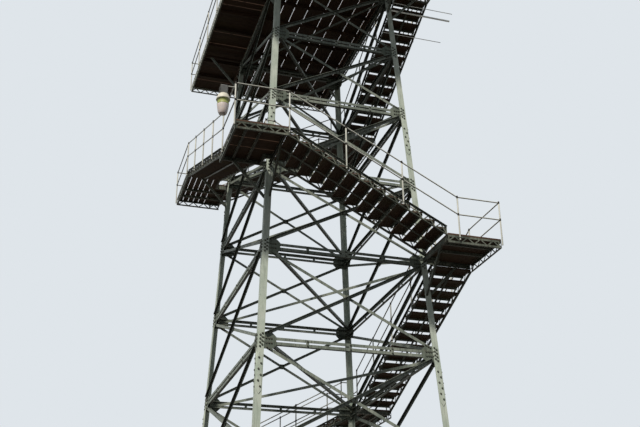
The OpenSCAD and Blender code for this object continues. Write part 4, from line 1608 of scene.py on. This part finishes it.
@dataclass
class Studio:
    """Pale floor and backdrop, one soft sun and the photograph's camera, placed from the tower's axis."""

    plan: TowerPlan
    backdrop: str = "dfe5ea"
    floor: str = "d6d6d0"
    bounce: str = "302e2a"
    floor_half: float = 160.0
    floor_rough: float = 0.9
    fill: float = 0.25
    fill_tint: str = "eef2f6"
    sun: float = 3.4
    sun_tint: str = "fff6e8"
    sun_turn: float = -40.0
    sun_up: float = 53.0
    sun_soft: float = 4.0
    focal_px: float = 924.515
    photo_w: int = 640
    sensor: float = 36.0
    far: float = 1000.0
    camera_at: Point = (-7.17201, -23.71956, 1.74460)
    yaw: float = 17.43355
    pitch: float = 25.33703
    roll: float = -0.50870

    def shown(self, tree: bpy.types.NodeTree) -> bpy.types.NodeSocket:
        """A factor that is 1 for rays that see the backdrop and 0 for rays that light the tower.

        Args:
            tree: a world's or a material's node tree.

        Returns:
            The factor.
        """
        path = add(tree, "LightPath")
        seen = path.outputs["Is Camera Ray"]
        for ray in ("Is Glossy Ray", "Is Transmission Ray"):
            seen = add(tree, "Math", {0: seen, 1: path.outputs[ray]}, operation="MAXIMUM").outputs[0]
        return seen

    def light(self) -> None:
        """World and sun at a plain level."""
        world = bpy.data.worlds.new("studio")
        world.use_nodes = True
        bpy.context.scene.world = world
        tree = world.node_tree
        tree.nodes.clear()
        lit = add(tree, "Background", {"Color": linear(self.fill_tint), "Strength": self.fill})
        seen = add(tree, "Background", {"Color": linear(self.backdrop), "Strength": 1.0})
        both = add(tree, "MixShader", {0: self.shown(tree), 1: lit.outputs[0], 2: seen.outputs[0]})
        out = add(tree, "OutputWorld")
        tree.links.new(both.outputs[0], out.inputs["Surface"])
        lamp = bpy.data.lights.new("sun", "SUN")
        lamp.energy = self.sun
        lamp.angle = math.radians(self.sun_soft)
        lamp.color = linear(self.sun_tint)[:3]
        holder = bpy.data.objects.new("sun", lamp)
        turn, up = math.radians(self.sun_turn), math.radians(self.sun_up)
        towards = Vector((math.sin(turn) * math.cos(up), -math.cos(turn) * math.cos(up), math.sin(up)))
        holder.rotation_euler = towards.to_track_quat("Z", "Y").to_euler()
        bpy.context.scene.collection.objects.link(holder)

    def ground(self) -> None:
        """A wide pale floor that keeps the tower's shadow."""
        mesh = bpy.data.meshes.new("floor")
        wide = self.floor_half
        corners = [(-wide, -wide, 0), (wide, -wide, 0), (wide, wide, 0), (-wide, wide, 0)]
        mesh.from_pydata(corners, [], [(0, 1, 2, 3)])
        made = bpy.data.objects.new("floor", mesh)
        bpy.context.scene.collection.objects.link(made)
        paper = bpy.data.materials.new("matt_studio_floor")
        paper.use_nodes = True
        tree, shader = paper.node_tree, paper.node_tree.nodes["Principled BSDF"]
        colour = add(tree, "Mix", {0: self.shown(tree), 6: linear(self.bounce), 7: linear(self.floor)},
                     data_type="RGBA")
        tree.links.new(colour.outputs[2], shader.inputs["Base Color"])
        shader.inputs["Roughness"].default_value = self.floor_rough
        mesh.materials.append(paper)

    def camera(self) -> None:
        """The camera at the photograph's place and angle."""
        data = bpy.data.cameras.new("camera")
        data.sensor_width = self.sensor
        data.lens = self.focal_px / self.photo_w * self.sensor
        data.clip_end = self.far
        made = bpy.data.objects.new("camera", data)
        turns = ((-self.yaw, "Z"), (90 + self.pitch, "X"), (self.roll, "Z"))
        yaw, pitch, roll = (Matrix.Rotation(math.radians(angle), 4, axis) for angle, axis in turns)
        made.matrix_world = self.plan.on_axis @ Matrix.Translation(self.camera_at) @ (yaw @ pitch) @ roll
        bpy.context.scene.collection.objects.link(made)
        bpy.context.scene.camera = made

    def build(self) -> None:
        """Camera, floor and lights."""
        self.camera()
        self.ground()
        self.light()
        bpy.context.scene.view_settings.view_transform = "Standard"


def main() -> None:
    """Build every piece in order."""
    logging.basicConfig(level=logging.INFO, format="%(message)s")
    plan = TowerPlan()
    Studio(plan).build()
    steel = Steelwork(plan)
    steel.dress()
    steel.splices()
    Bolting(plan).build()
    Treads(plan, np.random.default_rng(7)).build()
    Planking(plan, np.random.default_rng(11)).build()
    Railings(plan).build()
    Lamp(plan).build()
    OutriggerTubes(plan).build()


if __name__ == "__main__":
    main()
